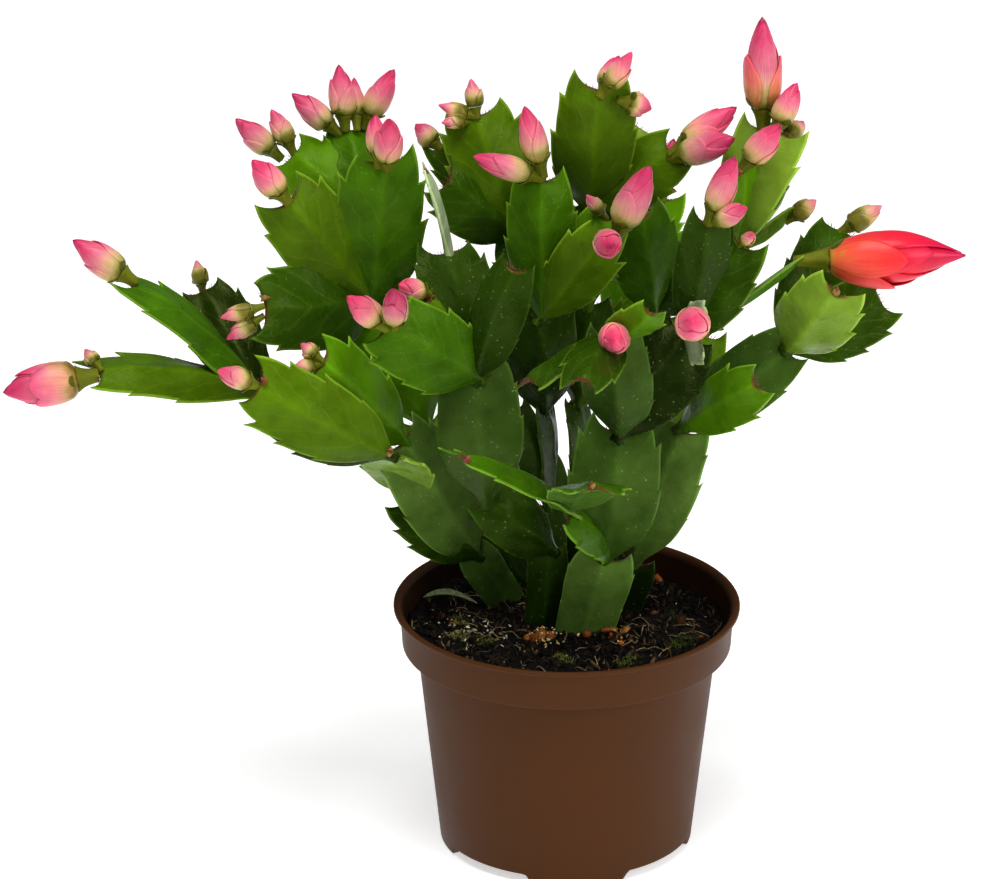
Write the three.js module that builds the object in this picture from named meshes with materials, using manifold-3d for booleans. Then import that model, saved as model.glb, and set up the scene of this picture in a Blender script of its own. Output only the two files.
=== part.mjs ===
// A potted Christmas cactus: a brown moulded plant pot, its soil, eight rooted stems of flat toothed
// segments, and the pink buds and one opening flower at their ends.
// Millimetres, +Z up. The origin is the middle of the pot's underside, and +Y points away from the viewer.
import * as THREE from "three";
import { mergeVertices } from "three/addons/utils/BufferGeometryUtils.js";
import Module from "manifold-3d";

const wasm = await Module();
wasm.setup();

// The pot: a 12 cm plant pot, 88 mm high, with a collar below its lip. It stands on four feet, each an arc
// of the foot ring, and on a small boss in the middle of its raised floor.
const POT = {
  height: 88,
  lipRadius: 60,
  lipHeight: 1.6,
  rimWidth: 1.7, // the lip's flat top, outside the flare of the inner wall
  collarTopRadius: 57.8,
  collarBottomRadius: 57,
  collarHeight: 15,
  bodyTopRadius: 52,
  footRadius: 44,
  wall: 1.2,
  bossRadius: 8,
  floorBottom: 4,
  floorTop: 5.4,
  footWidth: 2.2,
  footRise: 3.5,
  feet: 4,
  firstFoot: 5, // degrees round from the front
  notchDepth: 14, // how far the notches between the feet reach in through the foot ring
  drainRadius: 4,
  drainCircle: 30,
  drainSides: 8,
  sides: 32,
};
const COLLAR_BOTTOM = POT.height - POT.collarHeight;

// The soil: level with the collar's middle, with a low crumbly relief of broad waves and finer slanting
// ones.
const SOIL = {
  level: 78,
  gap: 0.35,
  relief: 1.3,
  broadWave: 5.5,
  fineWave: 4.3,
  fineShare: 0.6,
  rings: [46, 26], // the radii at which the relief's points lie, from the edge inwards
  sides: 24,
};

// A stem's foot: how deep it stands in a plain hole in the soil and how far it rises above it, how high above
// the soil its first segment begins, the clearance round it, and half its width as a share of the segment's.
const FOOT = { depth: 18, above: 9, bladeFrom: 5, clearance: 0.5, thickness: 4.4, share: 0.43, sides: 8 };

// A segment: how far its pointed root is sunk into the one below, and half its thickness along the rib,
// at the woody joint in the middle of its tip, and at its edge.
const BLADE = { sunk: 4, rib: 1.6, joint: 1.7, edge: 0.45 };

// Half of a segment's outline, from its narrow neck to the end of its tip, each point as a share of the
// segment's length and of its half width. The root itself is a sunk point.
const OUTLINE = [
  [0.1, 0.18],
  [0.3, 0.86],
  [0.62, 1.03], // the first tooth
  [0.63, 0.92],
  [0.85, 0.86], // the second tooth
  [0.85, 0.75],
  [1.04, 0.54], // the horn beside the tip
];
// Narrow young segments have one tooth on each side.
const NARROW_OUTLINE = [
  [0.1, 0.23],
  [0.32, 0.84],
  [0.62, 1.02],
  [0.64, 0.87],
  [1.04, 0.56],
];
const NARROW = 26; // the width below which a segment counts as narrow
const TIP = 0.975; // the areole, in the middle of the cut-off end
const RIB = [0.12, 0.55]; // the rib's other points, as shares of the length
const TOOTH_SHIFT = 0.03; // the teeth of one side stand this much further along than those of the other
const SHIFTED_FROM = 0.6; // the outline's points past this share of the length are shifted so

// Old rooted segments keep nearly their full width down to the soil.
const ROOTED_OUTLINE = [
  [0.02, 0.84],
  [0.35, 0.92],
  [0.56, 1.0],
  [0.58, 0.88],
  [0.86, 0.96],
  [1.02, 0.7],
];

// A bud: how deep its foot is sunk, where its green stalk ends along it, the stalk's half widths, the gap
// between stalk and petals, the twist of the petals from ring to ring in degrees, and how far each second
// point of a ring is folded in. From the large width on a bud has more sides, folded so.
const BUD = {
  sunk: 3,
  stalk: 0.18,
  stalkFoot: 0.2,
  stalkTop: 0.31,
  gap: 0.35,
  twist: 16,
  fold: 0.84,
  large: 8,
  sides: 5,
  largeSides: 6,
};
// The closed petals of a bud: share of the way to its tip, share of its width.
const BUD_PROFILE = [
  [0.0, 0.34],
  [0.3, 0.5],
  [0.72, 0.36],
];
const OPEN = 4; // the place in a flower's row that says how far its petals stand open
const FLOWER_SLENDER = 0.66; // an open flower's closed inner petals and stalk, against those of a bud

// A loose petal of the larger buds and of the flower. Its foot, bow, width and opening are shares of the
// bud's width, and its reach is a share of the way to the tip, a little more for every second petal.
const PETAL = {
  foot: 0.2,
  rise: 1,
  bow: 0.16,
  reach: 0.62,
  longReach: 0.71,
  open: 0.4,
  width: 0.95,
  rib: 0.55,
  joint: 0.4,
  edge: 0.32,
};
const PETAL_OUTLINE = [
  [0.04, 0.3],
  [0.3, 0.85],
  [0.6, 1.0],
  [0.86, 0.6],
];

const VIEWER = new THREE.Vector3(0, -0.925, 0.381); // the way to the viewer, who looks 22 degrees down
const UP = new THREE.Vector3(0, 0, 1);
const END_ON = 0.9; // a segment whose direction is this near the viewer's is seen end on
const ROOT = -1;

// The stems. Each has its root's place on the soil, and rows of segments:
// the row it grows from, its tip, its width, the turn of its flat side, and how far its middle arches.
// A turn of 0 shows the flat side to the viewer, or upwards where the segment points at the viewer.
// A bud's row is its base, on the end of a segment, its tip and its width, and for a large one also the
// number of its loose petals. A flower's row also says how far they stand open.
const STEMS = {
  stem_front: {
    root: [7, -5],
    segments: [
      [ROOT, [13, -5, 107], 24, 0, 0],
      [0, [18, -12, 156], 33, 5, 3],
      [0, [1, -22, 131], 22, 70, 2],
      [2, [-36, -46, 161], 22, 78, 3],
      [2, [9, -60, 157], 26, 0, 3],
      [1, [15, -22, 195], 26, -10, 2],
      [5, [-14, -50, 189], 22, 80, 2],
      [5, [4, -58, 193], 20, 20, 2],
      [5, [27, -40, 211], 16, 40, 1],
      [1, [41, 0, 188], 30, -15, 2],
      [9, [58, -8, 223], 24, -20, 2],
      [9, [47, -14, 234], 20, 10, 2],
      [9, [43, -42, 204], 22, 90, 1],
      [9, [78, -3, 215], 12, 88, 1],
    ],
    buds: [
      [[15, -22, 195], [15, -50, 205], 11],
      [[41, -42, 207], [40, -66, 217], 12],
      [[47, -14, 234], [55, -18, 258], 10],
      [[48, -14, 233], [59, -24, 242], 8],
      [[58, -8, 223], [62, -14, 229], 5],
    ],
    flower: [[78, -3, 215], [134, -3, 217], 20, 5, 0.85],
  },
  stem_right: {
    root: [20, 14],
    segments: [
      [ROOT, [24, 12, 98], 17, -10, 0],
      [0, [40, 8.5, 150], 28, -20, 3],
      [1, [62, -29, 180.5], 20, -10, 2],
      [1, [76, 10, 178.5], 25, 0, 3],
      [3, [90, -18, 210], 27, 0, 3],
      [3, [108, 16, 194], 26, 10, 3],
      [3, [95, 35, 213], 27, 0, 3],
      [3, [98, 46, 188], 24, 20, 3],
    ],
    buds: [
      [[95, 35, 212], [108, 35, 221], 8],
    ],
  },
  stem_left: {
    root: [-23, 20],
    segments: [
      [ROOT, [-32, 14, 100], 16, 15, 0],
      [0, [-57, -5, 151], 30, 15, 3],
      [0, [-55, 5, 126], 27, 10, 3],
      [2, [-61, -28, 155], 25, 0, 2],
      [1, [-83, -24, 187], 26, 20, 2],
      [3, [-105, -38, 184], 27, -10, 3],
      [3, [-104, -5, 166.5], 27, -20, 3],
      [6, [-148, 5, 205], 22, 58, 3],
      [6, [-159, -25, 184], 25, 55, 3.5],
      [6, [-125, 20, 196], 23, 10, 3],
      [6, [-122, 36, 176], 23, 20, 3],
    ],
    buds: [
      [[-148, 5, 205], [-168, 8, 218.5], 11],
      [[-125, 20, 196], [-127, 22, 206], 6],
      [[-160, -25, 182], [-190, -30, 178], 14, 2],
      [[-158, -24, 185], [-163, -18, 189], 5.5],
      [[-105, -38, 184], [-117, -45, 192], 8],
      [[-84, -24, 188], [-90, -23, 193], 6],
      [[-84, -24, 186], [-94, -28, 185], 6],
    ],
  },
  stem_middle: {
    root: [-8, 3],
    segments: [
      [ROOT, [-6, 0, 108], 15, 10, 0],
      [0, [-28, -8, 130], 22, 10, 2],
      [1, [-31, -12, 177], 31, -5, 3],
      [2, [-61, -30, 202], 29, 0, 3],
      [2, [-47, -10, 205], 22, 55, 2],
      [2, [-18, -22, 220], 20, -10, 2],
      [2, [-41, 0, 218], 28, 10, 3],
      [6, [-48, -2, 247], 12, 84, 1],
    ],
    buds: [
      [[-62, -30, 202], [-74, -36, 215], 9.5],
      [[-58, -30, 202], [-58, -48, 222], 9],
      [[-48, -10, 206], [-57, -20, 213], 8],
    ],
  },
  stem_left_back: {
    root: [-17, 34],
    segments: [
      [ROOT, [-39, 30, 108], 16, 15, 0],
      [0, [-49, 24, 145], 24, 10, 2],
      [1, [-67, 12, 194], 28, 10, 3],
      [2, [-95, -5, 238], 30, 5, 3],
      [2, [-62, 0, 249], 31, 5, 3],
      [2, [-103, -18, 203], 31, 0, 3],
      [2, [-70, 20, 224], 22, 10, 2],
      [6, [-94, 30, 242], 24, 10, 2],
      [6, [-74, 36, 249], 23, 5, 2],
      [1, [-62, 50, 170], 23, 0, 3],
      [9, [-80, 62, 205], 23, 0, 3],
    ],
    buds: [
      [[-99, 30, 241], [-113, 28, 255], 9],
      [[-94, 30, 243], [-101, 32, 257], 7.5],
      [[-95, -5, 238], [-106, -8, 253], 10],
      [[-79, 35, 248], [-94, 34, 262], 9],
      [[-76, 35, 250], [-78, 38, 271], 9.5],
      [[-72, 35, 250], [-73, 45, 264], 7],
      [[-69, 37, 250], [-59, 36, 270], 9.5],
      [[-64, 0, 249], [-65, 4, 265], 8],
      [[-61, 0, 248], [-60, -12, 269], 10],
      [[-104, -18, 204], [-117, -20, 201], 6],
      [[-104, -18, 200], [-115, -22, 194], 6],
    ],
  },
  stem_centre_back: {
    root: [-5, 24],
    segments: [
      [ROOT, [-7, 26, 114], 14, 10, 0],
      [0, [-8, 20, 152], 17, 70, 2],
      [1, [-9, 4, 193], 26, 0, 2],
      [2, [-9, 2, 243], 25, 0, 3],
      [2, [12, -8, 226], 22, 15, 2],
      [2, [12, 6, 228], 18, 0, 2],
      [2, [-19, 20, 216], 20, 0, 2],
      [6, [-31, 22, 259], 30, 0, 3],
      [6, [-43, 30, 245], 18, 10, 2],
      [6, [-41, 14, 238], 26, 10, 2],
      [6, [-20, 55, 238], 22, 0, 2],
      [0, [-17, 24, 151], 14, 20, 2],
    ],
    buds: [
      [[-44, 30, 244], [-52, 34, 251], 8],
      [[-32, 22, 258], [-44, 22, 262], 6],
      [[-31, 22, 259], [-33, 26, 270], 6.5],
      [[-34, 22, 256], [-43, 18, 257], 5],
      [[-10, 2, 243], [-32, -10, 255], 9],
      [[-9, 2, 245], [-15, -2, 270], 9.5],
      [[16, -8, 226], [27, -14, 253], 12],
      [[12, -8, 224], [14, -34, 232], 10],
      [[12, 6, 228], [6, 2, 237], 5.5],
    ],
  },
  stem_right_back: {
    root: [8, 34],
    segments: [
      [ROOT, [4, 33, 113], 14, 0, 0],
      [0, [4, 28, 152], 16, 60, 2],
      [1, [7, 24, 190], 24, 0, 2],
      [2, [7, 28, 223], 22, 0, 2],
      [3, [10, 8, 272], 29, 0, 3],
      [3, [35, 22, 245], 24, 0, 2],
      [3, [25, 35, 250], 20, 0, 2],
      [3, [30, 28, 230], 16, 20, 2],
      [1, [30, 25, 186], 26, 0, 2],
      [8, [55, 15, 214], 22, 10, 2],
      [9, [73, 12, 256], 22, -35, 3],
      [9, [66, 20, 255], 22, 20, 2],
      [9, [75, 27, 219], 16, 74, 2],
      [9, [59, 5, 246], 18, 40, 2],
      [8, [25, 6, 228], 24, 10, 2],
      [8, [48, 55, 200], 24, 0, 2],
      [9, [74, 24, 232], 14, 70, 2],
    ],
    buds: [
      [[11, 8, 271], [17, 15, 282], 8],
      [[12, 8, 271], [21, 4, 287], 7.5],
      [[18, 9, 268], [28, 12, 264], 8.5],
      [[29, 28, 230], [37, 25, 230], 5],
      [[36, 22, 245], [57, 20, 262], 10.5],
      [[36, 22, 243], [56, 8, 255], 11],
      [[66, 20, 255], [65, 20, 294], 12.5, 2],
      [[70, 12, 256], [77, 16, 272], 9],
      [[73, 14, 252], [80, 25, 255], 7],
      [[59, 5, 246], [71, 0, 263], 10],
      [[76, 27, 219], [85, 27, 226], 7],
    ],
  },
  stem_back: {
    root: [-2, 46],
    segments: [
      [ROOT, [2, 52, 104], 16, 0, 0],
      [0, [-30, 66, 130], 22, 0, 3],
      [0, [36, 66, 124], 21, 0, 3],
      [1, [-50, 84, 158], 23, 0, 3],
      [1, [-18, 88, 166], 23, 0, 3],
      [2, [50, 86, 154], 23, 0, 3],
      [2, [20, 92, 174], 24, 0, 3],
      [6, [34, 86, 206], 23, 0, 3],
    ],
    buds: [
      [[-50, 84, 158], [-60, 92, 170], 9],
      [[-18, 88, 166], [-20, 94, 186], 10],
      [[50, 86, 154], [60, 94, 166], 9],
      [[34, 86, 206], [38, 90, 226], 10],
      [[20, 92, 174], [18, 106, 184], 8],
    ],
  },
};

const materials = {
  pot: new THREE.MeshStandardMaterial({ color: "#5e3a28", roughness: 0.45, metalness: 0 }),
  soil: new THREE.MeshStandardMaterial({ color: "#1d1712", roughness: 0.95, metalness: 0 }),
  stem: new THREE.MeshStandardMaterial({ color: "#3f7a1c", roughness: 0.4, metalness: 0 }),
  bud: new THREE.MeshStandardMaterial({ color: "#e8708a", roughness: 0.45, metalness: 0 }),
  flower: new THREE.MeshStandardMaterial({ color: "#e63a48", roughness: 0.45, metalness: 0 }),
};

// A closed geometry as a solid, with its shared vertices merged and the faces that this flattens dropped.
function solidOf(geometry) {
  const bare = geometry.clone();
  bare.deleteAttribute("normal");
  bare.deleteAttribute("uv");
  const merged = mergeVertices(bare, 1e-4);
  const triVerts = [];
  for (let i = 0; i < merged.index.count; i += 3) {
    const [a, b, c] = [0, 1, 2].map((k) => merged.index.getX(i + k));
    if (a !== b && b !== c && c !== a) triVerts.push(a, b, c);
  }
  return new wasm.Manifold(
    new wasm.Mesh({
      numProp: 3,
      vertProperties: new Float32Array(merged.attributes.position.array),
      triVerts: new Uint32Array(triVerts),
    }),
  );
}

// A solid as a named mesh of the scene.
function meshOf(name, solid, material) {
  const { numProp, vertProperties, triVerts } = solid.getMesh();
  const count = vertProperties.length / numProp;
  const positions = new Float32Array(count * 3);
  for (let i = 0; i < count; i++) {
    positions.set(vertProperties.subarray(i * numProp, i * numProp + 3), i * 3);
  }
  const geometry = new THREE.BufferGeometry();
  geometry.setAttribute("position", new THREE.BufferAttribute(positions, 3));
  geometry.setIndex(new THREE.BufferAttribute(new Uint32Array(triVerts), 1));
  geometry.computeVertexNormals();
  const mesh = new THREE.Mesh(geometry, material);
  mesh.name = name;
  return mesh;
}

// The way that a segment's flat side faces: to the viewer, or upwards where the segment points at the viewer.
function facingOf(from, to, turn) {
  const along = to.clone().sub(from).normalize();
  const reference = Math.abs(along.dot(VIEWER)) > END_ON ? UP : VIEWER;
  const out = reference.clone().addScaledVector(along, -reference.dot(along)).normalize();
  return out.applyAxisAngle(along, THREE.MathUtils.degToRad(turn));
}

// A segment or petal as a closed geometry: a flat outline, thin at the edge and thicker along its rib, which
// arches from root to tip.
function bladeGeometry({ root, tip, out, width, arch, outline, shift, make }) {
  const along = tip.clone().sub(root).normalize();
  const across = out.clone().cross(along).normalize();
  const length = root.distanceTo(tip);
  const rib = [[0, 0, 0], ...RIB.map((t) => [t, 0, make.rib]), [TIP, 0, make.joint]];
  const side = (sign) =>
    outline.map(([t, w]) => [t > SHIFTED_FROM ? t + sign * shift : t, (sign * w * width) / 2, make.edge]);
  const points = [...rib, ...side(-1), ...side(1)];
  const n = points.length;
  const place = ([t, w, h], sign) =>
    root
      .clone()
      .addScaledVector(along, t * length)
      .addScaledVector(across, w)
      .addScaledVector(out, 4 * arch * t * (1 - Math.min(t, 1)) + sign * h);
  const index = [];
  const face = (a, b, c) => index.push(a, b, c, n + a, n + c, n + b);
  const wall = (a, b) => index.push(a, n + a, b, b, n + a, n + b);
  const last = outline.length - 1;
  // Each half of the face is a strip between the rib and one side: the one that lags behind takes the next
  // step.
  for (const sign of [-1, 1]) {
    const start = rib.length + (sign > 0 ? outline.length : 0);
    const turn = (a, b, c) => (sign > 0 ? face(a, c, b) : face(a, b, c));
    let [i, j] = [0, 0];
    while (i < last || j < rib.length - 1) {
      const sideNext = i < last ? points[start + i + 1][0] : Infinity;
      const ribNext = j < rib.length - 1 ? rib[j + 1][0] : Infinity;
      if (sideNext < ribNext || j === rib.length - 1) turn(j, start + i, start + ++i);
      else turn(j, start + i, ++j);
    }
    for (let k = 0; k < last; k++) {
      if (sign > 0) wall(start + k + 1, start + k);
      else wall(start + k, start + k + 1);
    }
  }
  const [low, high] = [rib.length, rib.length + outline.length];
  wall(high, 0);
  wall(0, low);
  wall(low + last, rib.length - 1);
  wall(rib.length - 1, high + last);
  const geometry = new THREE.BufferGeometry();
  geometry.setFromPoints([...points.map((p) => place(p, 1)), ...points.map((p) => place(p, -1))]);
  geometry.setIndex(index);
  return geometry;
}

// A closed spindle along an axis: a ring of points for each row of its profile, every other one folded in.
function spindleGeometry({ from, to, profile, width, sides, fold, grow, flatTop }) {
  const axis = to.clone().sub(from);
  const length = axis.length();
  axis.normalize();
  const out = facingOf(from, to, 0);
  const rings = profile.map(([t, r], row) => {
    const ring = [];
    for (let k = 0; k < sides; k++) {
      const angle = (2 * Math.PI * k) / sides + THREE.MathUtils.degToRad(BUD.twist * row);
      const radius = r * width * (k % 2 ? fold : 1) + grow;
      const spoke = out.clone().applyAxisAngle(axis, angle);
      ring.push(from.clone().addScaledVector(axis, t * length).addScaledVector(spoke, radius));
    }
    return ring;
  });
  const bottom = from.clone().addScaledVector(axis, -grow);
  const top = to.clone().addScaledVector(axis, flatTop ? 0 : grow);
  const n = sides;
  const index = [];
  for (let k = 0; k < n; k++) {
    const j = (k + 1) % n;
    index.push(0, 2 + j, 2 + k);
    for (let row = 1; row < rings.length; row++) {
      const [low, high] = [2 + (row - 1) * n, 2 + row * n];
      index.push(low + k, low + j, high + k, high + k, low + j, high + j);
    }
    const last = 2 + (rings.length - 1) * n;
    index.push(last + k, last + j, 1);
  }
  const geometry = new THREE.BufferGeometry().setFromPoints([bottom, top, ...rings.flat()]);
  geometry.setIndex(index);
  return geometry;
}

// Where a bud's parts meet: its sunk foot, the top of its green stalk, the bottom of its petals, and its tip.
function budStations([base, tip, width]) {
  const [low, high] = [vector(base), vector(tip)];
  const axis = high.clone().sub(low).normalize();
  const foot = low.clone().addScaledVector(axis, -BUD.sunk);
  const stalkTop = low.clone().lerp(high, BUD.stalk);
  const petalsFrom = stalkTop.clone().addScaledVector(axis, BUD.gap);
  return { foot, stalkTop, petalsFrom, high, width };
}

// The green stalk of a bud, which belongs to the stem. The stalk of an open flower is more slender.
function stalkSolid(bud) {
  const { foot, stalkTop, width } = budStations(bud);
  const slender = bud[OPEN] ? FLOWER_SLENDER : 1;
  const profile = [[0, BUD.stalkFoot * slender], [1, BUD.stalkTop * slender]];
  const { sides } = BUD;
  return solidOf(
    spindleGeometry({ from: foot, to: stalkTop, profile, width, sides, fold: 1, grow: 0, flatTop: true }),
  );
}

// The loose outer petals round the body of a large bud or a flower, each bowed outwards from its foot.
function loosePetals([base, tip, width, count = 0, open = 1]) {
  const { petalsFrom, high } = budStations([base, tip, width]);
  const spine = high.clone().sub(petalsFrom);
  const axis = spine.clone().normalize();
  const first = facingOf(petalsFrom, high, 0);
  return Array.from({ length: count }, (_, k) => {
    const out = first.clone().applyAxisAngle(axis, (2 * Math.PI * k) / count);
    const reach = k % 2 ? PETAL.reach : PETAL.longReach;
    const root = petalsFrom.clone().addScaledVector(axis, PETAL.rise);
    root.addScaledVector(out, PETAL.foot * width);
    const end = petalsFrom.clone().addScaledVector(spine, reach);
    end.addScaledVector(out, PETAL.open * open * width);
    return solidOf(
      bladeGeometry({
        root,
        tip: end,
        out,
        width: PETAL.width * width,
        arch: PETAL.bow * width,
        outline: PETAL_OUTLINE,
        shift: 0,
        make: PETAL,
      }),
    );
  });
}

// The pink petals of a bud, folded into one body. With grow, it is that much larger all round.
function petalsSolid(bud, grow) {
  const { petalsFrom, high, width } = budStations(bud);
  const small = width < BUD.large;
  const slender = bud[OPEN] ? FLOWER_SLENDER : 1;
  const profile = BUD_PROFILE.map(([t, r]) => [t, r * slender]);
  const sides = small ? BUD.sides : BUD.largeSides;
  const fold = small ? 1 : BUD.fold;
  const body = solidOf(
    spindleGeometry({ from: petalsFrom, to: high, profile, width, sides, fold, grow, flatTop: false }),
  );
  return grow ? body : loosePetals(bud).reduce((all, one) => all.add(one), body);
}

// The foot of a stem: an upright flat oval bar, from inside the first segment down into the soil. With grow,
// it is that much larger all round.
function footGeometry([x, y], width, turn, grow) {
  const oval = new THREE.Shape();
  const halfWidth = FOOT.share * width + grow;
  oval.absellipse(0, 0, halfWidth, FOOT.thickness / 2 + grow, 0, 2 * Math.PI, false, 0);
  const bar = new THREE.ExtrudeGeometry(oval, {
    depth: FOOT.depth + FOOT.above + grow,
    bevelEnabled: false,
    curveSegments: FOOT.sides / 2,
  });
  bar.rotateZ(THREE.MathUtils.degToRad(turn));
  bar.translate(x, y, SOIL.level - FOOT.depth - grow);
  return bar;
}

function vector(list) {
  return new THREE.Vector3(...list);
}

// One stem: all its segments, its foot and the stalks of its buds, joined in one solid.
function stemSolid({ root, segments, buds, flower }) {
  let solid = solidOf(footGeometry(root, segments[0][2], segments[0][3], 0));
  segments.forEach(([on, tipAt, width, turn, arch], i) => {
    const rooted = on === ROOT;
    const tip = vector(tipAt);
    const joint = rooted ? vector([...root, SOIL.level + FOOT.bladeFrom]) : vector(segments[on][1]);
    const along = tip.clone().sub(joint).normalize();
    const blade = bladeGeometry({
      root: joint.clone().addScaledVector(along, rooted ? 0 : -BLADE.sunk),
      tip,
      out: facingOf(joint, tip, turn),
      width,
      arch,
      outline: rooted ? ROOTED_OUTLINE : width < NARROW ? NARROW_OUTLINE : OUTLINE,
      shift: i % 2 ? TOOTH_SHIFT : -TOOTH_SHIFT,
      make: BLADE,
    });
    solid = solid.add(solidOf(blade));
  });
  const blooms = flower ? [...buds, flower] : buds;
  for (const bloom of blooms) solid = solid.add(stalkSolid(bloom));
  for (const bloom of blooms) solid = solid.subtract(petalsSolid(bloom, BUD.gap));
  return largestBody(solid);
}

// The largest separate body of a solid: this drops loose scraps and fills sealed hollows.
function largestBody(solid) {
  const bodies = solid.decompose();
  return bodies.reduce((best, body) => (body.volume() > best.volume() ? body : best));
}

// The outer radius of the pot's tapered body at a height.
function bodyRadius(z) {
  return THREE.MathUtils.lerp(POT.footRadius, POT.bodyTopRadius, z / COLLAR_BOTTOM);
}

// A closed profile of radii and heights, turned round the pot's axis.
function turnedGeometry(profile, sides) {
  const points = profile.map(([r, z]) => new THREE.Vector2(r, z));
  return new THREE.LatheGeometry(points, sides).rotateX(Math.PI / 2);
}

// The pot: one moulded shell, turned from its profile, with drain holes and a foot ring cut into feet.
function potSolid() {
  const p = POT;
  const profile = [
    [0, 0],
    [p.bossRadius, 0],
    [p.bossRadius, p.floorBottom],
    [p.footRadius - p.footWidth, p.floorBottom],
    [p.footRadius - p.footWidth, 0],
    [p.footRadius, 0],
    [p.bodyTopRadius, COLLAR_BOTTOM],
    [p.collarBottomRadius, COLLAR_BOTTOM],
    [p.collarTopRadius, p.height - p.lipHeight],
    [p.lipRadius, p.height - p.lipHeight],
    [p.lipRadius, p.height],
    [p.lipRadius - p.rimWidth, p.height],
    [p.collarTopRadius - p.wall, p.height - p.lipHeight],
    [p.collarBottomRadius - p.wall, COLLAR_BOTTOM + p.wall],
    [p.bodyTopRadius - p.wall, COLLAR_BOTTOM + p.wall],
    [bodyRadius(p.floorTop) - p.wall, p.floorTop],
    [0, p.floorTop],
  ];
  let shell = solidOf(turnedGeometry(profile, p.sides));
  const chord = 2 * p.footRadius * Math.sin(Math.PI / p.feet / 2);
  for (let i = 0; i < p.feet; i++) {
    const angle = THREE.MathUtils.degToRad(p.firstFoot) + (2 * Math.PI * i) / p.feet;
    const notch = new THREE.BoxGeometry(chord, p.notchDepth, 2 * p.footRise);
    notch.translate(0, -p.footRadius, 0).rotateZ(angle + Math.PI / p.feet);
    const drain = new THREE.CylinderGeometry(p.drainRadius, p.drainRadius, p.floorTop, p.drainSides);
    drain.rotateX(Math.PI / 2).translate(0, -p.drainCircle, p.floorTop).rotateZ(angle);
    shell = shell.subtract(solidOf(notch)).subtract(solidOf(drain));
  }
  return shell;
}

// The crumbly height of the soil above its level.
function soilRelief(x, y) {
  const broad = Math.sin(x / SOIL.broadWave) * Math.cos(y / SOIL.broadWave);
  const fine = Math.sin((x + 2 * y) / SOIL.fineWave);
  return (SOIL.relief * (broad + SOIL.fineShare * fine)) / (1 + SOIL.fineShare);
}

// The soil: it fills the pot to its level, and has a plain hole for each stem's foot.
function soilSolid() {
  const low = POT.floorTop + SOIL.gap;
  const shelf = COLLAR_BOTTOM + POT.wall + SOIL.gap;
  const inset = POT.wall + 2 * SOIL.gap;
  const profile = [
    [0, low],
    [bodyRadius(low) - inset, low],
    [POT.bodyTopRadius - inset, shelf],
    [POT.collarBottomRadius - inset, shelf],
    [POT.collarBottomRadius - inset, SOIL.level],
    ...SOIL.rings.map((r) => [r, SOIL.level]),
    [0, SOIL.level],
  ];
  const turned = turnedGeometry(profile, SOIL.sides);
  const spots = turned.attributes.position;
  for (let i = 0; i < spots.count; i++) {
    const [x, y] = [spots.getX(i), spots.getY(i)];
    if (spots.getZ(i) > SOIL.level - 1e-3) spots.setZ(i, SOIL.level + soilRelief(x, y));
  }
  let soil = solidOf(turned);
  for (const { root, segments } of Object.values(STEMS)) {
    soil = soil.subtract(solidOf(footGeometry(root, segments[0][2], segments[0][3], FOOT.clearance)));
  }
  return soil;
}

const cactus = new THREE.Group();
cactus.add(meshOf("pot", potSolid(), materials.pot));
cactus.add(meshOf("soil", soilSolid(), materials.soil));
for (const [name, stem] of Object.entries(STEMS)) {
  cactus.add(meshOf(name, stemSolid(stem), materials.stem));
  const petals = stem.buds.map((bud) => petalsSolid(bud, 0));
  const bodies = petals.reduce((all, one) => all.add(one)).decompose();
  bodies.forEach((body, i) => cactus.add(meshOf(`${name}_bud_${i + 1}`, body, materials.bud)));
  if (stem.flower) cactus.add(meshOf("flower", petalsSolid(stem.flower, 0), materials.flower));
}

export default cactus;
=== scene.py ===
# %% [markdown]
# # A potted Christmas cactus
# A Christmas cactus has no leaves. Its flat green segments are pieces of stem, each growing from the cut-off
# end of the one below, and its buds hang on the last ones. This lesson dresses a fixed model of such a plant:
# every segment, bud and petal is worked out again as a fine surface, along the same skeleton as the plain
# solids, so that nothing has to be fitted afterwards. The first step is to load the plain model.

import bpy
import numpy as np
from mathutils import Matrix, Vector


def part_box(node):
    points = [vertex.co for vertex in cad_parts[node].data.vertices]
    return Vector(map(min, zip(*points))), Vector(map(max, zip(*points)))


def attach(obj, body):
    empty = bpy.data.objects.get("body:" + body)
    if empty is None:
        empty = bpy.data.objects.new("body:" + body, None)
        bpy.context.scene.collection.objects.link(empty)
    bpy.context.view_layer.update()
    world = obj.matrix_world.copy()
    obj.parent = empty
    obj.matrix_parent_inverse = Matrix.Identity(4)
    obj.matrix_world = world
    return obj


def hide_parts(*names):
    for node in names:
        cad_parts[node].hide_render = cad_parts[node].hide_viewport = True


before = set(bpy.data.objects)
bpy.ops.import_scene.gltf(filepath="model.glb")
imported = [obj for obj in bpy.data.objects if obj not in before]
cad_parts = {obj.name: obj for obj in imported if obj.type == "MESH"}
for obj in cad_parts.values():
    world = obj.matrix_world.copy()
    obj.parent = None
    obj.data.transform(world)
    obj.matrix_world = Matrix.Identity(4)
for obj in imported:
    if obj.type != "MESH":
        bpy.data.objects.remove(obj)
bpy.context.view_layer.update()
print("plain nodes:", len(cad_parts))

# %% [markdown]
# Plants are measured in millimetres and Blender works in metres, so shapes are worked out in millimetres and
# scaled once, where a mesh is made. Colours are noted as sRGB hex values, as read off a screen, and the
# renderer wants linear light, so one function turns the first into the second.

# %% Units and colours
MM = 0.001  # one millimetre in metres
UP = np.array([0.0, 0.0, 1.0])


def linear(hexcode):
    """An sRGB hex colour as linear red, green, blue and alpha, by the sRGB curve."""
    srgb = np.array([int(hexcode[i : i + 2], 16) for i in (1, 3, 5)]) / 255
    rgb = np.where(srgb <= 0.04045, srgb / 12.92, ((srgb + 0.055) / 1.055) ** 2.4)
    return (*rgb.tolist(), 1.0)


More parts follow.
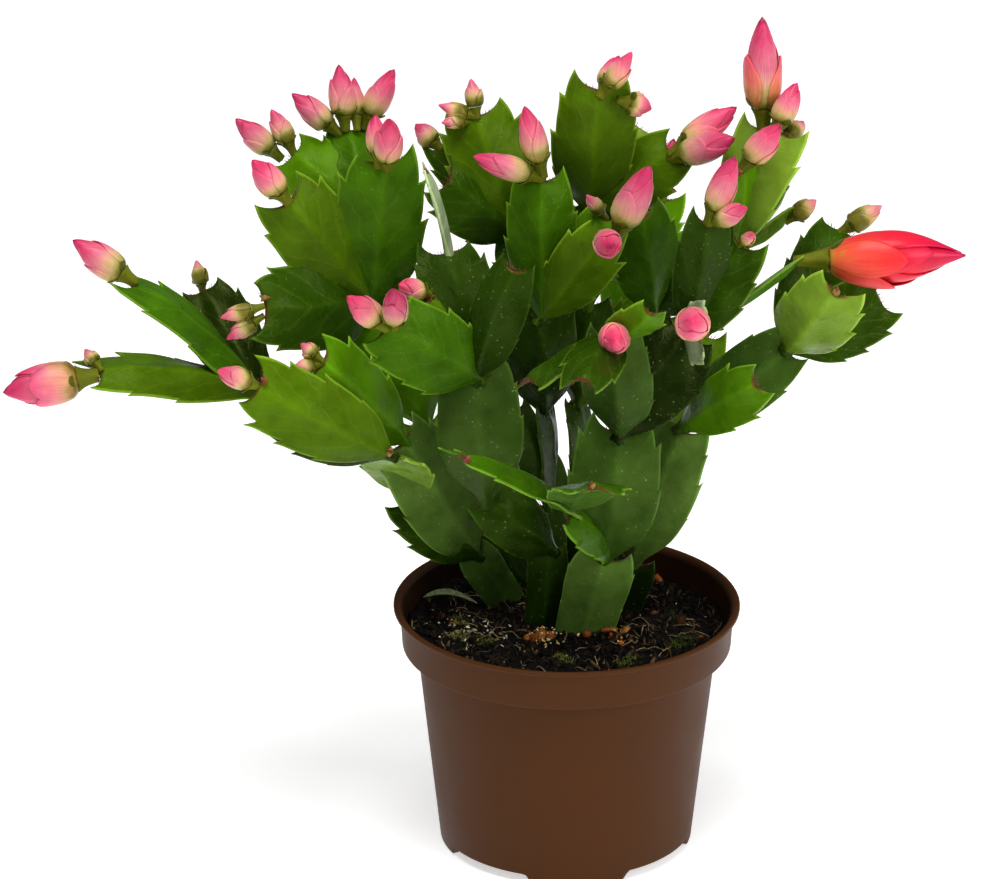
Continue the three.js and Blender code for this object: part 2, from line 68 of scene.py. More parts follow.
def unit(vector):
    """The vector, or each of a list of vectors, at length one."""
    vector = np.asarray(vector, float)
    return vector / np.linalg.norm(vector, axis=-1, keepdims=True)


# %% [markdown]
# The camera comes first, because the picture's framing decides how fine the detail has to be. A plant is
# photographed from a little above, with a long lens, so that near and far segments keep the same scale. The
# lens is worked out from how wide a strip the picture takes in at the point that it looks at.

# %% Camera
VIEW_DOWN = 22.4  # degrees below the horizontal
VIEW_DISTANCE = 2000.0
VIEW_WIDTH = 342.3  # the width that the picture takes in at the point looked at
LOOK_AT = np.array([-23.1, 0.0, 148.6])
SENSOR = 36.0


def add_object(name, data):
    """An object that carries the data, put into the scene at the origin."""
    made = bpy.data.objects.new(name, data)
    bpy.context.scene.collection.objects.link(made)
    return made


down = np.radians(VIEW_DOWN)
to_viewer = np.array([0.0, -np.cos(down), np.sin(down)])
camera = add_object("camera", bpy.data.cameras.new("camera"))
camera.data.sensor_width = SENSOR
camera.data.lens = SENSOR * VIEW_DISTANCE / VIEW_WIDTH
camera.location = (LOOK_AT + to_viewer * VIEW_DISTANCE) * MM
camera.rotation_euler = (np.pi / 2 - down, 0.0, 0.0)
bpy.context.scene.camera = camera
print(f"lens {camera.data.lens:.0f} mm")

# %% [markdown]
# Two kinds of closed surface make nearly everything. A *slab* is two grids of points, one above the other,
# joined round their border: that is a segment or a petal. A *tube* is a row of rings, closed at each end on
# one point: that is a stalk, the core of a bud or a pot. Both are written as arrays of point numbers, mostly
# four to a face.

# %% Faces of slabs and tubes
def slab_faces(rows, columns):
    """Quads of two grids, the upper one facing out, and the walls that join their borders."""
    index = np.arange(rows * columns).reshape(rows, columns)
    top = np.stack([index[:-1, :-1], index[1:, :-1], index[1:, 1:], index[:-1, 1:]], -1).reshape(-1, 4)
    border = np.concatenate([index[:, 0], index[-1, 1:], index[-2::-1, -1], index[0, -2:0:-1]])
    after = np.roll(border, -1)
    wall = np.stack([after, border, border + index.size, after + index.size], -1)
    return np.concatenate([top, top[:, ::-1] + index.size, wall])


def tube_faces(rings, sides):
    """Quads between rings of points, and the fans that close the first and the last ring.

    The two poles are the points after the last ring, the first ring's pole before the last one's.
    """
    index = np.arange(rings * sides).reshape(rings, sides)
    beside = np.roll(index, -1, axis=1)
    wall = np.stack([index[:-1], beside[:-1], beside[1:], index[1:]], -1).reshape(-1, 4)
    first = np.stack([beside[0], index[0], np.full(sides, index.size)], -1)
    last = np.stack([index[-1], beside[-1], np.full(sides, index.size + 1)], -1)
    return wall, np.concatenate([first, last])


# %% [markdown]
# A part carries its points, its faces and two attributes that the materials read later: *place*, which says
# where on the segment or petal a point lies, and *tint*, the segment's colour, which on segments deep in the
# plant is darkened by painted shade. Attributes stay with the surface, so a margin or a rib is drawn where it
# belongs however the piece is turned.

# %% Parts and their meshes
def part(points, faces, place, tint):
    """A part of a piece: points in millimetres, a list of face arrays, and a place and a tint for each."""
    points = np.asarray(points, float).reshape(-1, 3)
    place = np.broadcast_to(np.asarray(place, float), (len(points), 3))
    tint = np.broadcast_to(np.asarray(tint, float), (len(points), 4))
    return {"points": points, "faces": faces, "place": place, "tint": tint}


def slab_part(top, under, place, tint):
    """A slab between two grids of points, whose place is the same on either side."""
    points = np.concatenate([top.reshape(-1, 3), under.reshape(-1, 3)])
    place = np.stack(np.broadcast_arrays(*place, top[..., 0])[:3], -1).reshape(-1, 3)
    return part(points, [slab_faces(*top.shape[:2])], np.concatenate([place, place]), tint)


def tube_part(rings, poles, place, tint):
    """A tube through rings of points, closed on the first and the last pole."""
    points = np.concatenate([rings.reshape(-1, 3), poles])
    return part(points, list(tube_faces(*rings.shape[:2])), place, tint)


def joined_mesh(name, parts):
    """One mesh in metres from several parts: each part's point numbers are shifted past those before it."""
    starts = np.cumsum([0] + [len(p["points"]) for p in parts])
    shifted = [some + start for p, start in zip(parts, starts) for some in p["faces"]]
    points = np.concatenate([p["points"] for p in parts]) * MM
    mesh = bpy.data.meshes.new(name)
    mesh.from_pydata(points.tolist(), [], [face for some in shifted for face in some.tolist()])
    return mesh


# %% [markdown]
# A piece is what the dressed model knows: a mesh that rides with it, has a slot for its colour, and may stand
# for plain nodes. Many of its forms follow a smooth curve through a few given values.

# %% Pieces and curves
def add_piece(name, parts, finish, slot, *nodes):
    """Joins parts into one smooth mesh object that rides with the model and stands for its plain nodes."""
    mesh = joined_mesh(name, parts)
    mesh.polygons.foreach_set("use_smooth", np.ones(len(mesh.polygons), bool))
    for key, kind, field in (("place", "FLOAT_VECTOR", "vector"), ("tint", "FLOAT_COLOR", "color")):
        values = np.concatenate([p[key] for p in parts]).astype(np.float32)
        mesh.attributes.new(key, kind, "POINT").data.foreach_set(field, values.ravel())
    mesh.materials.append(finish)
    piece = add_object(name, mesh)
    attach(piece, "root")
    if nodes:
        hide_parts(*nodes)
    print(f"{name}: {sum(len(p.vertices) - 2 for p in mesh.polygons)} triangles")
    return piece


def through(t, at, value):
    """A smooth curve through given points: a cubic between each two, with the slope of its neighbours."""
    at, value = np.asarray(at, float), np.asarray(value, float)
    slope = np.gradient(value, at)
    i = np.clip(np.searchsorted(at, t, side="right") - 1, 0, len(at) - 2)
    gap = at[i + 1] - at[i]
    x = np.clip((t - at[i]) / gap, 0, 1)
    start = (1 + 2 * x) * (1 - x) ** 2 * value[i] + x * (1 - x) ** 2 * gap * slope[i]
    return start + x * x * (3 - 2 * x) * value[i + 1] + x * x * (x - 1) * gap * slope[i + 1]


# %% [markdown]
# Each surface gets a procedural finish, built from nodes. One small function adds a node with its settings,
# its fixed values and its links, which keeps a material readable from its coordinates to its shader. Sockets
# are named or numbered as on the node: in a range, 1 and 2 are the values that come in and 3 and 4 what they
# are mapped to, and in a mix of colours 0 is the share and 6 and 7 are the colours. A noise hardly ever
# leaves the middle of its range, so most ranges take in only that.

# %% The node helpers
NOISE = {1: 0.3, 2: 0.7}  # the values between which a noise mostly lies


def feed(node, links):
    """Links each socket of a node to a source: an output, or a node, of which it takes the first in use."""
    for socket, source in links.items():
        if isinstance(source, bpy.types.Node):
            source = next(output for output in source.outputs if output.enabled)
        node.id_data.links.new(source, node.inputs[socket])


def add(tree, kind, values=None, links=None, **settings):
    """Adds a node: settings are its own choices, values fill its sockets and links feed them."""
    node = tree.nodes.new("ShaderNode" + kind)
    for key, value in settings.items():
        setattr(node, key, value)
    for socket, value in (values or {}).items():
        node.inputs[socket].default_value = value
    feed(node, links or {})
    return node


def new_material(name, **sockets):
    """A material, its node tree and its shader, with the shader's own sockets set by their labels."""
    made = bpy.data.materials.new(name)
    made.use_nodes = True
    shader = made.node_tree.nodes["Principled BSDF"]
    for label, value in sockets.items():
        shader.inputs[label.replace("_", " ")].default_value = value
    return made, made.node_tree, shader


# %% [markdown]
# ## The skin of the stem
# The skin of a Christmas cactus is a thick waxy cuticle over wet green flesh. The wax gives a broad, soft
# highlight, and the flesh under it lets a little light through. Young segments are bright yellow-green, and
# light through their thin edge makes the margin clear. Old ones turn grey-green and corky, with patches of
# pale breathing pores. The tint of each segment comes from its attribute. The material adds painted shade
# that darkens each segment towards its root, a painted lighter margin, the paler rib, the clouding that every
# segment shows, the pores, and the brown areole at the cut-off end.

# %% Place and clouds
CLOUD_SIZE = 9.0  # the spacing of the light and dark clouds


def skin_sockets(tree):
    """What every layer of the skin reads: the place on the segment, its tint and age, and the clouds."""
    place = add(tree, "Attribute", attribute_name="place")
    tint = add(tree, "Attribute", attribute_name="tint")
    axes = add(tree, "SeparateXYZ", links={0: place.outputs["Vector"]})
    where = add(tree, "TexCoord").outputs["Object"]
    across = add(tree, "Math", links={0: axes.outputs["Y"]}, operation="ABSOLUTE")
    youth = add(tree, "MapRange", {1: 0.2, 2: 0.9, 3: 1.0, 4: 0.0}, {0: tint.outputs["Alpha"]})
    cloud = add(tree, "TexNoise", {"Scale": 1 / (CLOUD_SIZE * MM), "Detail": 5.0}, {"Vector": where})
    return {"along": axes.outputs["X"], "across": across, "where": where, "tint": tint.outputs["Color"],
            "age": tint.outputs["Alpha"], "youth": youth, "cloud": cloud}


def clouded_shaded_tint(tree, on):
    """The segment's tint times its clouds, times painted shade darker towards its root, and lighter on the
    rib.
    """
    blotch = add(tree, "MapRange", NOISE | {3: 0.78, 4: 1.2}, {0: on["cloud"]})
    # painted shade: each segment is darkened towards its root, where shade falls among the segments
    painted_root_shade = add(tree, "MapRange", {1: 0.0, 2: 1.0, 3: 0.7, 4: 1.15}, {0: on["along"]})
    ridge = add(tree, "MapRange", {1: 0.0, 2: 0.2, 3: 1.22, 4: 1.0}, {0: on["across"]},
                interpolation_type="SMOOTHSTEP")
    gain = add(tree, "Math", links={0: blotch, 1: painted_root_shade}, operation="MULTIPLY")
    shade = add(tree, "Math", links={0: gain, 1: ridge}, operation="MULTIPLY")
    return add(tree, "Mix", {0: 1.0}, {6: on["tint"], 7: shade}, data_type="RGBA", blend_type="MULTIPLY")


# %% [markdown]
# The side veins of a segment slant forwards from the rib to the notches. A sine along the segment, of which
# only the crests are kept, draws them as thin lines, and the clouds bend them a little. The margin is painted
# lighter, for the light that shines through the thin flesh there and catches on its edge, and on young
# segments it is yellowish as well.

# %% Veins and margin
VEINS = 5.0  # side veins along one half of a segment
VEIN_SLANT = 0.35  # how far a side vein runs forward, as a share of the length, before it meets the edge


def side_veins(tree, on):
    """Thin lines where a sine of the place along the segment, less a slant, is at its crest."""
    slant = add(tree, "Math", {1: VEIN_SLANT}, {0: on["across"]}, operation="MULTIPLY")
    flow = add(tree, "Math", links={0: on["along"], 1: slant}, operation="SUBTRACT")
    wobble = add(tree, "MapRange", NOISE | {3: -0.05, 4: 0.05}, {0: on["cloud"]})
    bent = add(tree, "Math", links={0: flow, 1: wobble}, operation="ADD")
    phase = add(tree, "Math", {1: 2 * np.pi * VEINS}, {0: bent}, operation="MULTIPLY")
    wave = add(tree, "Math", links={0: phase}, operation="SINE")
    return add(tree, "MapRange", {1: 0.86, 2: 1.0, 3: 0.0, 4: 0.07}, {0: wave},
               interpolation_type="SMOOTHSTEP")


def with_veins(tree, on, vein, colour):
    """Lighter veins, the clearer the younger the segment is."""
    young_vein = add(tree, "Math", links={0: vein, 1: on["youth"]}, operation="MULTIPLY")
    return add(tree, "Mix", {7: linear("#7f9f2c")}, {0: young_vein, 6: colour}, data_type="RGBA")


def with_lit_margin(tree, on, colour):
    """A painted lighter edge, for light through the thin flesh, and a yellower one on young segments."""
    # painted light: the edge is lightened where light shines through and catches on the thin flesh
    rim = add(tree, "MapRange", {1: 0.94, 2: 1.0, 3: 1.0, 4: 1.8}, {0: on["across"]},
              interpolation_type="SMOOTHSTEP")
    margin = add(tree, "Mix", {0: 1.0}, {6: colour, 7: rim}, data_type="RGBA", blend_type="MULTIPLY")
    yellow = add(tree, "MapRange", {1: 0.95, 2: 1.0, 3: 0.0, 4: 0.25}, {0: on["across"]},
                 interpolation_type="SMOOTHSTEP")
    young_rim = add(tree, "Math", links={0: yellow, 1: on["youth"]}, operation="MULTIPLY")
    return add(tree, "Mix", {7: linear("#9cb83c")}, {0: young_rim, 6: margin}, data_type="RGBA")


# %% [markdown]
# The skin breathes through pores, which cork over as a segment ages and then show as pale dots in patches. A
# cell pattern gives one dot for each cell, and the clouds choose the patches. At the cut-off end lies the
# areole, the brown cushion from which buds and new segments grow.

# %% Pores and areole
PORE_SPACING = 2.2  # real pores are finer; these are as coarse as the picture can show


def with_pores(tree, on, colour):
    """Pale dots round the middles of cells, in patches, the clearer the older the segment is."""
    pores = add(tree, "TexVoronoi", {"Scale": 1 / (PORE_SPACING * MM)}, {"Vector": on["where"]})
    pore = add(tree, "MapRange", {1: 0.06, 2: 0.16, 3: 0.65, 4: 0.0}, {0: pores.outputs["Distance"]})
    patch = add(tree, "MapRange", {1: 0.42, 2: 0.55, 3: 0.0, 4: 1.0}, {0: on["cloud"]})
    some = add(tree, "Math", links={0: pore, 1: patch}, operation="MULTIPLY")
    old = add(tree, "Math", links={0: some, 1: on["age"]}, operation="MULTIPLY")
    return add(tree, "Mix", {7: linear("#a3b184")}, {0: old, 6: colour}, data_type="RGBA")


def with_areole(tree, on, colour):
    """Brown at the very end of the segment, in the middle of its width."""
    end = add(tree, "MapRange", {1: 0.985, 2: 1.0, 3: 0.0, 4: 1.0}, {0: on["along"]})
    inner = add(tree, "MapRange", {1: 0.35, 2: 0.7, 3: 0.8, 4: 0.0}, {0: on["across"]})
    areole = add(tree, "Math", links={0: end, 1: inner}, operation="MULTIPLY")
    return add(tree, "Mix", {7: linear("#5a2f1a")}, {0: areole, 6: colour}, data_type="RGBA")


# %% [markdown]
# The layers are laid one over the other. Wax is worn here and thicker there, so its gloss follows the clouds.
# The bump adds the swell of the flesh under the skin, its fine grain and the raised veins.

# %% Waxy skin
SKIN_GRAIN = 0.7
SWELL, VEIN_RISE = 7.0, 4.0  # how much the clouds and the veins count in the bump, the grain being one


def skin_material():
    """Wax over green flesh: clouds, veins, margin, pores and areole, an uneven gloss and a bump."""
    made, tree, shader = new_material(
        "waxy_green_skin", Roughness=0.3, IOR=1.45, Specular_IOR_Level=0.16,
        Specular_Tint=(0.75, 0.9, 0.25, 1), Subsurface_Weight=0.06, Subsurface_Scale=0.0015,
        Subsurface_Radius=(0.4, 0.6, 0.05),
    )
    on = skin_sockets(tree)
    vein = side_veins(tree, on)
    colour = with_veins(tree, on, vein, clouded_shaded_tint(tree, on))
    colour = with_pores(tree, on, with_lit_margin(tree, on, colour))
    colour = with_areole(tree, on, colour)

    gloss = add(tree, "MapRange", NOISE | {3: 0.2, 4: 0.42}, {0: on["cloud"]})
    grain = add(tree, "TexNoise", {"Scale": 1 / (SKIN_GRAIN * MM), "Detail": 2.0}, {"Vector": on["where"]})
    swell = add(tree, "Math", {1: SWELL}, {0: on["cloud"]}, operation="MULTIPLY")
    raised = add(tree, "Math", {1: VEIN_RISE}, {0: vein}, operation="MULTIPLY")
    rough = add(tree, "Math", links={0: grain, 1: swell}, operation="ADD")
    height = add(tree, "Math", links={0: rough, 1: raised}, operation="ADD")
    bump = add(tree, "Bump", {"Strength": 0.5, "Distance": 0.25 * MM}, {"Height": height})
    feed(shader, {"Base Color": colour, "Roughness": gloss, "Normal": bump})
    return made


skin = skin_material()
print("nodes in the skin:", len(skin.node_tree.nodes))

# %% [markdown]
# ## Petals
# Petals are thin, juicy and smooth, and light passes through them, so a shadow inside a bud still glows.
# Their colour runs along them: green and cream at the foot, salmon, pink, and a dark rosy tip. So the colour
# is a ramp along the part's own *place*, broken by fine streaks that follow the petal's length. The opening
# flower uses the same recipe with a fiery ramp.

# %% Petal finish
STREAKS = 30.0  # streaks across one petal
PETAL_CLOUD = 5.0


def petal_material(name, ramp_stops):
    """Translucent petals: a colour ramp along the petal, clouded, with streaks along its length."""
    made, tree, shader = new_material(
        name, Roughness=0.32, IOR=1.42, Specular_IOR_Level=0.35, Specular_Tint=(1, 0.85, 0.88, 1),
        Subsurface_Weight=0.15, Subsurface_Scale=0.0015, Subsurface_Radius=(1.0, 0.35, 0.3),
    )
    place = add(tree, "Attribute", attribute_name="place")
    tint = add(tree, "Attribute", attribute_name="tint")
    where = add(tree, "TexCoord").outputs["Object"]
    axes = add(tree, "SeparateXYZ", links={0: place.outputs["Vector"]})
    cloud = add(tree, "TexNoise", {"Scale": 1 / (PETAL_CLOUD * MM), "Detail": 3.0}, {"Vector": where})
    shift = add(tree, "MapRange", NOISE | {3: -0.07, 4: 0.07}, {0: cloud})
    along = add(tree, "Math", links={0: axes.outputs["X"], 1: shift}, operation="ADD")
    unripe = add(tree, "MapRange", {1: 0.0, 2: 1.0, 3: 0.6, 4: 0.0}, {0: tint.outputs["Alpha"]})
    reached = add(tree, "Math", links={0: along, 1: unripe}, operation="SUBTRACT")
    ramp = add(tree, "ValToRGB", links={0: reached})
    stops = ramp.color_ramp.elements
    while len(stops) < len(ramp_stops):
        stops.new(1.0)
    for stop, (position, colour) in zip(stops, ramp_stops):
        stop.position = position
        stop.color = linear(colour)
    stretch = add(tree, "Mapping", {"Scale": (3.0, STREAKS, 3.0)}, {0: place.outputs["Vector"]})
    streak = add(tree, "TexNoise", {"Scale": 1.0, "Detail": 2.0}, {"Vector": stretch})
    shade = add(tree, "MapRange", NOISE | {3: 0.82, 4: 1.15}, {0: streak})
    streaked = add(tree, "Mix", {0: 1.0}, {6: ramp, 7: shade}, data_type="RGBA", blend_type="MULTIPLY")
    tinted = add(tree, "Mix", {0: 1.0}, {6: streaked, 7: tint.outputs["Color"]},
                 data_type="RGBA", blend_type="MULTIPLY")
    bump = add(tree, "Bump", {"Strength": 0.25, "Distance": 0.15 * MM}, {"Height": streak})
    feed(shader, {"Base Color": tinted, "Normal": bump})
    return made


PINK = ((0.0, "#706a1c"), (0.1, "#968c40"), (0.2, "#c9ad70"), (0.32, "#e39c88"), (0.5, "#df7386"),
        (0.72, "#da4a70"), (0.9, "#cc3060"), (1.0, "#86183c"))
RED = ((0.0, "#b5803a"), (0.07, "#e05a38"), (0.2, "#ea4438"), (0.45, "#e92a34"), (0.75, "#e21c40"),
       (0.93, "#d0164a"), (1.0, "#84103a"))
pink_petal = petal_material("pink_bud_petal", PINK)
red_petal = petal_material("red_flower_petal", RED)
print("nodes in a petal:", len(pink_petal.node_tree.nodes))

# %% [markdown]
# ## The skeleton
# A segment is known by the one that it grows from, the place of its tip, its width, the turn of its flat
# side, and how far its middle arches. The same rows made the plain model, so the fine surfaces lie in its
# place; only the segment that carries the flower is slimmer here. A last word names its tone: young segments
# at the ends are bright, old ones grey-green, and those that show their underside pale. The dim and shade
# tones are painted shade: dark greens for segments deep inside the plant, where shade falls on them.

# %% Tones of the segments
TONES = {
    "young": ("#4c7806", 0.0),
    "fresh": ("#456305", 0.1),
    "mid": ("#355b04", 0.25),
    "deep": ("#254003", 0.3),
    "old": ("#3a551a", 1.0),
    "pale_old": ("#52702a", 1.0),
    # painted shade: dim and shade are dark greens for segments deep in the plant, where shade falls
    "dim": ("#1f3604", 0.8),
    "shade": ("#142205", 0.85),
    "pale": ("#6c8b26", 0.3),
    "grey": ("#8f9f78", 0.2),
    "plum": ("#1f2e05", 0.6),
    "stalk": ("#5a5f14", 0.1),
}
UNDERSIDE = "#6a8a44"
UNDERSIDE_SHARE = 0.35  # how much of it a young segment's lower side takes


def tint_of(tone):
    """A tone's linear colour, with its age as the fourth number."""
    colour, age = TONES[tone]
    return np.array([*linear(colour)[:3], age])


# %% [markdown]
# The rows are a list for each stem. The first number of a segment is the one it grows from, or none where it
# grows from the soil. A bud has the places of its foot and its tip, its width, and sometimes notes, on its
# loose petals or on how ripe it is. A knob is a bud that has only just begun.

# %% Rows of the stems
STEMS = {
    "stem_front": {
        "root": (7, -5),
        "segments": [
            (None, (13, -5, 107), 24, 0, 0, "pale_old"),
            (0, (18, -12, 156), 33, 5, 3, "old"),
            (0, (1, -22, 131), 22, 70, 2, "mid"),
            (2, (-36, -46, 161), 22, 78, 3, "mid"),
            (2, (9, -60, 157), 26, 0, 3, "mid"),
            (1, (15, -22, 195), 26, -10, 2, "old"),
            (5, (-14, -50, 189), 22, 80, 2, "deep"),
            (5, (4, -58, 193), 20, 20, 2, "deep"),
            (5, (27, -40, 211), 16, 40, 1, "young"),
            (1, (41, 0, 188), 30, -15, 2, "shade"),
            (9, (58, -8, 223), 24, -20, 2, "deep"),
            (9, (47, -14, 234), 20, 10, 2, "dim"),
            (9, (43, -42, 204), 22, 90, 1, "grey"),
            (9, (78, -3, 215), 8, 88, 1, "mid"),
        ],
        "buds": [
            ((15, -22, 195), (15, -50, 205), 11, "bright"),
            ((41, -42, 207), (40, -66, 217), 12, "bright"),
            ((47, -14, 234), (55, -18, 258), 10),
            ((48, -14, 233), (59, -24, 242), 8),
            ((58, -8, 223), (62, -14, 229), 5),
        ],
        "flower": ((78, -3, 215), (134, -3, 217), 20),
        "knobs": [(-36, -48, 162), (8, -62, 157.5)],
    },
    "stem_right": {
        "root": (20, 14),
        "segments": [
            (None, (24, 12, 98), 17, -10, 0, "shade"),
            (0, (40, 8.5, 150), 28, -20, 3, "pale_old"),
            (1, (62, -29, 180.5), 20, -10, 2, "young"),
            (1, (76, 10, 178.5), 25, 0, 3, "old"),
            (3, (90, -18, 210), 27, 0, 3, "pale"),
            (3, (108, 16, 194), 26, 10, 3, "deep"),
            (3, (95, 35, 213), 27, 0, 3, "deep"),
            (3, (98, 46, 188), 24, 20, 3, "mid"),
        ],
        "buds": [((95, 35, 212), (108, 35, 221), 8, "green")],
        "knobs": [(91, -20, 211)],
    },
    "stem_left": {
        "root": (-23, 20),
        "segments": [
            (None, (-32, 14, 100), 16, 15, 0, "old"),
            (0, (-57, -5, 151), 30, 15, 3, "pale_old"),
            (0, (-55, 5, 126), 27, 10, 3, "deep"),
            (2, (-61, -28, 155), 25, 0, 2, "pale"),
            (1, (-83, -24, 187), 26, 20, 2, "young"),
            (3, (-105, -38, 184), 27, -10, 3, "fresh"),
            (3, (-104, -5, 166.5), 27, -20, 3, "dim"),
            (6, (-148, 5, 205), 22, 58, 3, "mid"),
            (6, (-159, -25, 184), 25, 55, 3.5, "fresh"),
            (6, (-125, 20, 196), 23, 10, 3, "plum"),
            (6, (-122, 36, 176), 23, 20, 3, "shade"),
        ],
        "buds": [
            ((-148, 5, 205), (-168, 8, 218.5), 11),
            ((-125, 20, 196), (-127, 22, 206), 6, "green"),
            ((-160, -25, 182), (-190, -30, 178), 14,
             (0.8, 75, "pink"), (0.6, -80, "pink"), (0.66, -15, "pink")),
            ((-158, -24, 185), (-163, -18, 189), 5.5),
            ((-105, -38, 184), (-117, -45, 192), 8),
            ((-84, -24, 188), (-90, -23, 193), 6),
            ((-84, -24, 186), (-94, -28, 185), 6),
        ],
        "knobs": [(-60, -30, 156), (-101, -40, 186.5)],
    },
    "stem_middle": {
        "root": (-8, 3),
        "segments": [
            (None, (-6, 0, 108), 15, 10, 0, "dim"),
            (0, (-28, -8, 130), 22, 10, 2, "dim"),
            (1, (-31, -12, 177), 31, -5, 3, "old"),
            (2, (-61, -30, 202), 29, 0, 3, "mid"),
            (2, (-47, -10, 205), 22, 55, 2, "fresh"),
            (2, (-18, -22, 220), 20, -10, 2, "dim"),
            (2, (-41, 0, 218), 28, 10, 3, "dim"),
            (6, (-48, -2, 247), 12, 84, 1, "grey"),
        ],
        "buds": [
            ((-62, -30, 202), (-74, -36, 215), 9.5),
            ((-58, -30, 202), (-58, -48, 222), 9),
            ((-48, -10, 206), (-57, -20, 213), 8),
        ],
        "knobs": [(-47, -10, 206)],
    },
    "stem_left_back": {
        "root": (-17, 34),
        "segments": [
            (None, (-39, 30, 108), 16, 15, 0, "dim"),
            (0, (-49, 24, 145), 24, 10, 2, "pale"),
            (1, (-67, 12, 194), 28, 10, 3, "young"),
            (2, (-95, -5, 238), 30, 5, 3, "fresh"),
            (2, (-62, 0, 249), 31, 5, 3, "mid"),
            (2, (-103, -18, 203), 31, 0, 3, "deep"),
            (2, (-70, 20, 224), 22, 10, 2, "young"),
            (6, (-94, 30, 242), 24, 10, 2, "young"),
            (6, (-74, 36, 249), 23, 5, 2, "mid"),
            (1, (-62, 50, 170), 23, 0, 3, "young"),
            (9, (-80, 62, 205), 23, 0, 3, "young"),
        ],
        "buds": [
            ((-99, 30, 241), (-113, 28, 255), 9),
            ((-94, 30, 243), (-101, 32, 257), 7.5),
            ((-95, -5, 238), (-106, -8, 253), 10),
            ((-79, 35, 248), (-94, 34, 262), 9),
            ((-76, 35, 250), (-78, 38, 271), 9.5),
            ((-72, 35, 250), (-73, 45, 264), 7),
            ((-69, 37, 250), (-59, 36, 270), 9.5),
            ((-64, 0, 249), (-65, 4, 265), 8),
            ((-61, 0, 248), (-60, -12, 269), 10),
            ((-104, -18, 204), (-117, -20, 201), 6),
            ((-104, -18, 200), (-115, -22, 194), 6),
        ],
        "knobs": [(-105, -19, 207)],
    },
    "stem_centre_back": {
        "root": (-5, 24),
        "segments": [
            (None, (-7, 26, 114), 14, 10, 0, "dim"),
            (0, (-8, 20, 152), 17, 70, 2, "dim"),
            (1, (-9, 4, 193), 26, 0, 2, "dim"),
            (2, (-9, 2, 243), 25, 0, 3, "mid"),
            (2, (12, -8, 226), 22, 15, 2, "fresh"),
            (2, (12, 6, 228), 18, 0, 2, "young"),
            (2, (-19, 20, 216), 20, 0, 2, "dim"),
            (6, (-31, 22, 259), 30, 0, 3, "fresh"),
            (6, (-43, 30, 245), 18, 10, 2, "deep"),
            (6, (-41, 14, 238), 26, 10, 2, "deep"),
            (6, (-20, 55, 238), 22, 0, 2, "dim"),
            (0, (-17, 24, 151), 14, 20, 2, "old"),
        ],
        "buds": [
            ((-44, 30, 244), (-52, 34, 251), 8),
            ((-32, 22, 258), (-44, 22, 262), 6),
            ((-31, 22, 259), (-33, 26, 270), 6.5),
            ((-34, 22, 256), (-43, 18, 257), 5),
            ((-10, 2, 243), (-32, -10, 255), 9),
            ((-9, 2, 245), (-15, -2, 270), 9.5),
            ((16, -8, 226), (27, -14, 253), 12),
            ((12, -8, 224), (14, -34, 232), 10),
            ((12, 6, 228), (6, 2, 237), 5.5),
        ],
        "knobs": [(-14, 2, 246)],
    },
    "stem_right_back": {
        "root": (8, 34),
        "segments": [
            (None, (4, 33, 113), 14, 0, 0, "dim"),
            (0, (4, 28, 152), 16, 60, 2, "dim"),
            (1, (7, 24, 190), 24, 0, 2, "deep"),
            (2, (7, 28, 223), 22, 0, 2, "fresh"),
            (3, (10, 8, 272), 29, 0, 3, "fresh"),
            (3, (35, 22, 245), 24, 0, 2, "fresh"),
            (3, (25, 35, 250), 20, 0, 2, "pale"),
            (3, (30, 28, 230), 16, 20, 2, "mid"),
            (1, (30, 25, 186), 26, 0, 2, "fresh"),
            (8, (55, 15, 214), 22, 10, 2, "dim"),
            (9, (73, 12, 256), 22, -35, 3, "pale"),
            (9, (66, 20, 255), 22, 20, 2, "pale"),
            (9, (75, 27, 219), 16, 74, 2, "fresh"),
            (9, (59, 5, 246), 18, 40, 2, "young"),
            (8, (25, 6, 228), 24, 10, 2, "mid"),
            (8, (48, 55, 200), 24, 0, 2, "young"),
            (9, (74, 24, 232), 14, 70, 2, "fresh"),
        ],
        "buds": [
            ((11, 8, 271), (17, 15, 282), 8),
            ((12, 8, 271), (21, 4, 287), 7.5),
            ((18, 9, 268), (28, 12, 264), 8.5),
            ((29, 28, 230), (37, 25, 230), 5),
            ((36, 22, 245), (57, 20, 262), 10.5),
            ((36, 22, 243), (56, 8, 255), 11),
            ((66, 20, 255), (65, 20, 294), 12.5, (0.56, 80, "orange"), (0.6, -80, "orange")),
            ((70, 12, 256), (77, 16, 272), 9),
            ((73, 14, 252), (80, 25, 255), 7),
            ((59, 5, 246), (71, 0, 263), 10),
            ((76, 27, 219), (85, 27, 226), 7, "green"),
        ],
        "knobs": [(58, 4, 247)],
    },
    "stem_back": {
        "root": (-2, 46),
        "segments": [
            (None, (2, 52, 104), 16, 0, 0, "dim"),
            (0, (-30, 66, 130), 22, 0, 3, "old"),
            (0, (36, 66, 124), 21, 0, 3, "old"),
            (1, (-50, 84, 158), 23, 0, 3, "mid"),
            (1, (-18, 88, 166), 23, 0, 3, "fresh"),
            (2, (50, 86, 154), 23, 0, 3, "fresh"),
            (2, (20, 92, 174), 24, 0, 3, "mid"),
            (6, (34, 86, 206), 23, 0, 3, "young"),
        ],
        "buds": [
            ((-50, 84, 158), (-60, 92, 170), 9),
            ((-18, 88, 166), (-20, 94, 186), 10),
            ((50, 86, 154), (60, 94, 166), 9),
            ((34, 86, 206), (38, 90, 226), 10),
            ((20, 92, 174), (18, 106, 184), 8),
        ],
        "knobs": [],
    },
}
print("segments:", sum(len(stem["segments"]) for stem in STEMS.values()))
print("buds:", sum(len(stem["buds"]) for stem in STEMS.values()))

# %% [markdown]
# A segment needs three directions: along it, across its flat side, and out of that side. The flat side faces
# the viewer, or upwards where the segment points at the viewer, and is then turned about its own length.

# %% Directions of a segment
VIEWER = np.array([0.0, -0.925, 0.381])  # rounded, as in the plain model
END_ON = 0.9  # a segment whose direction is this near the viewer's is seen end on


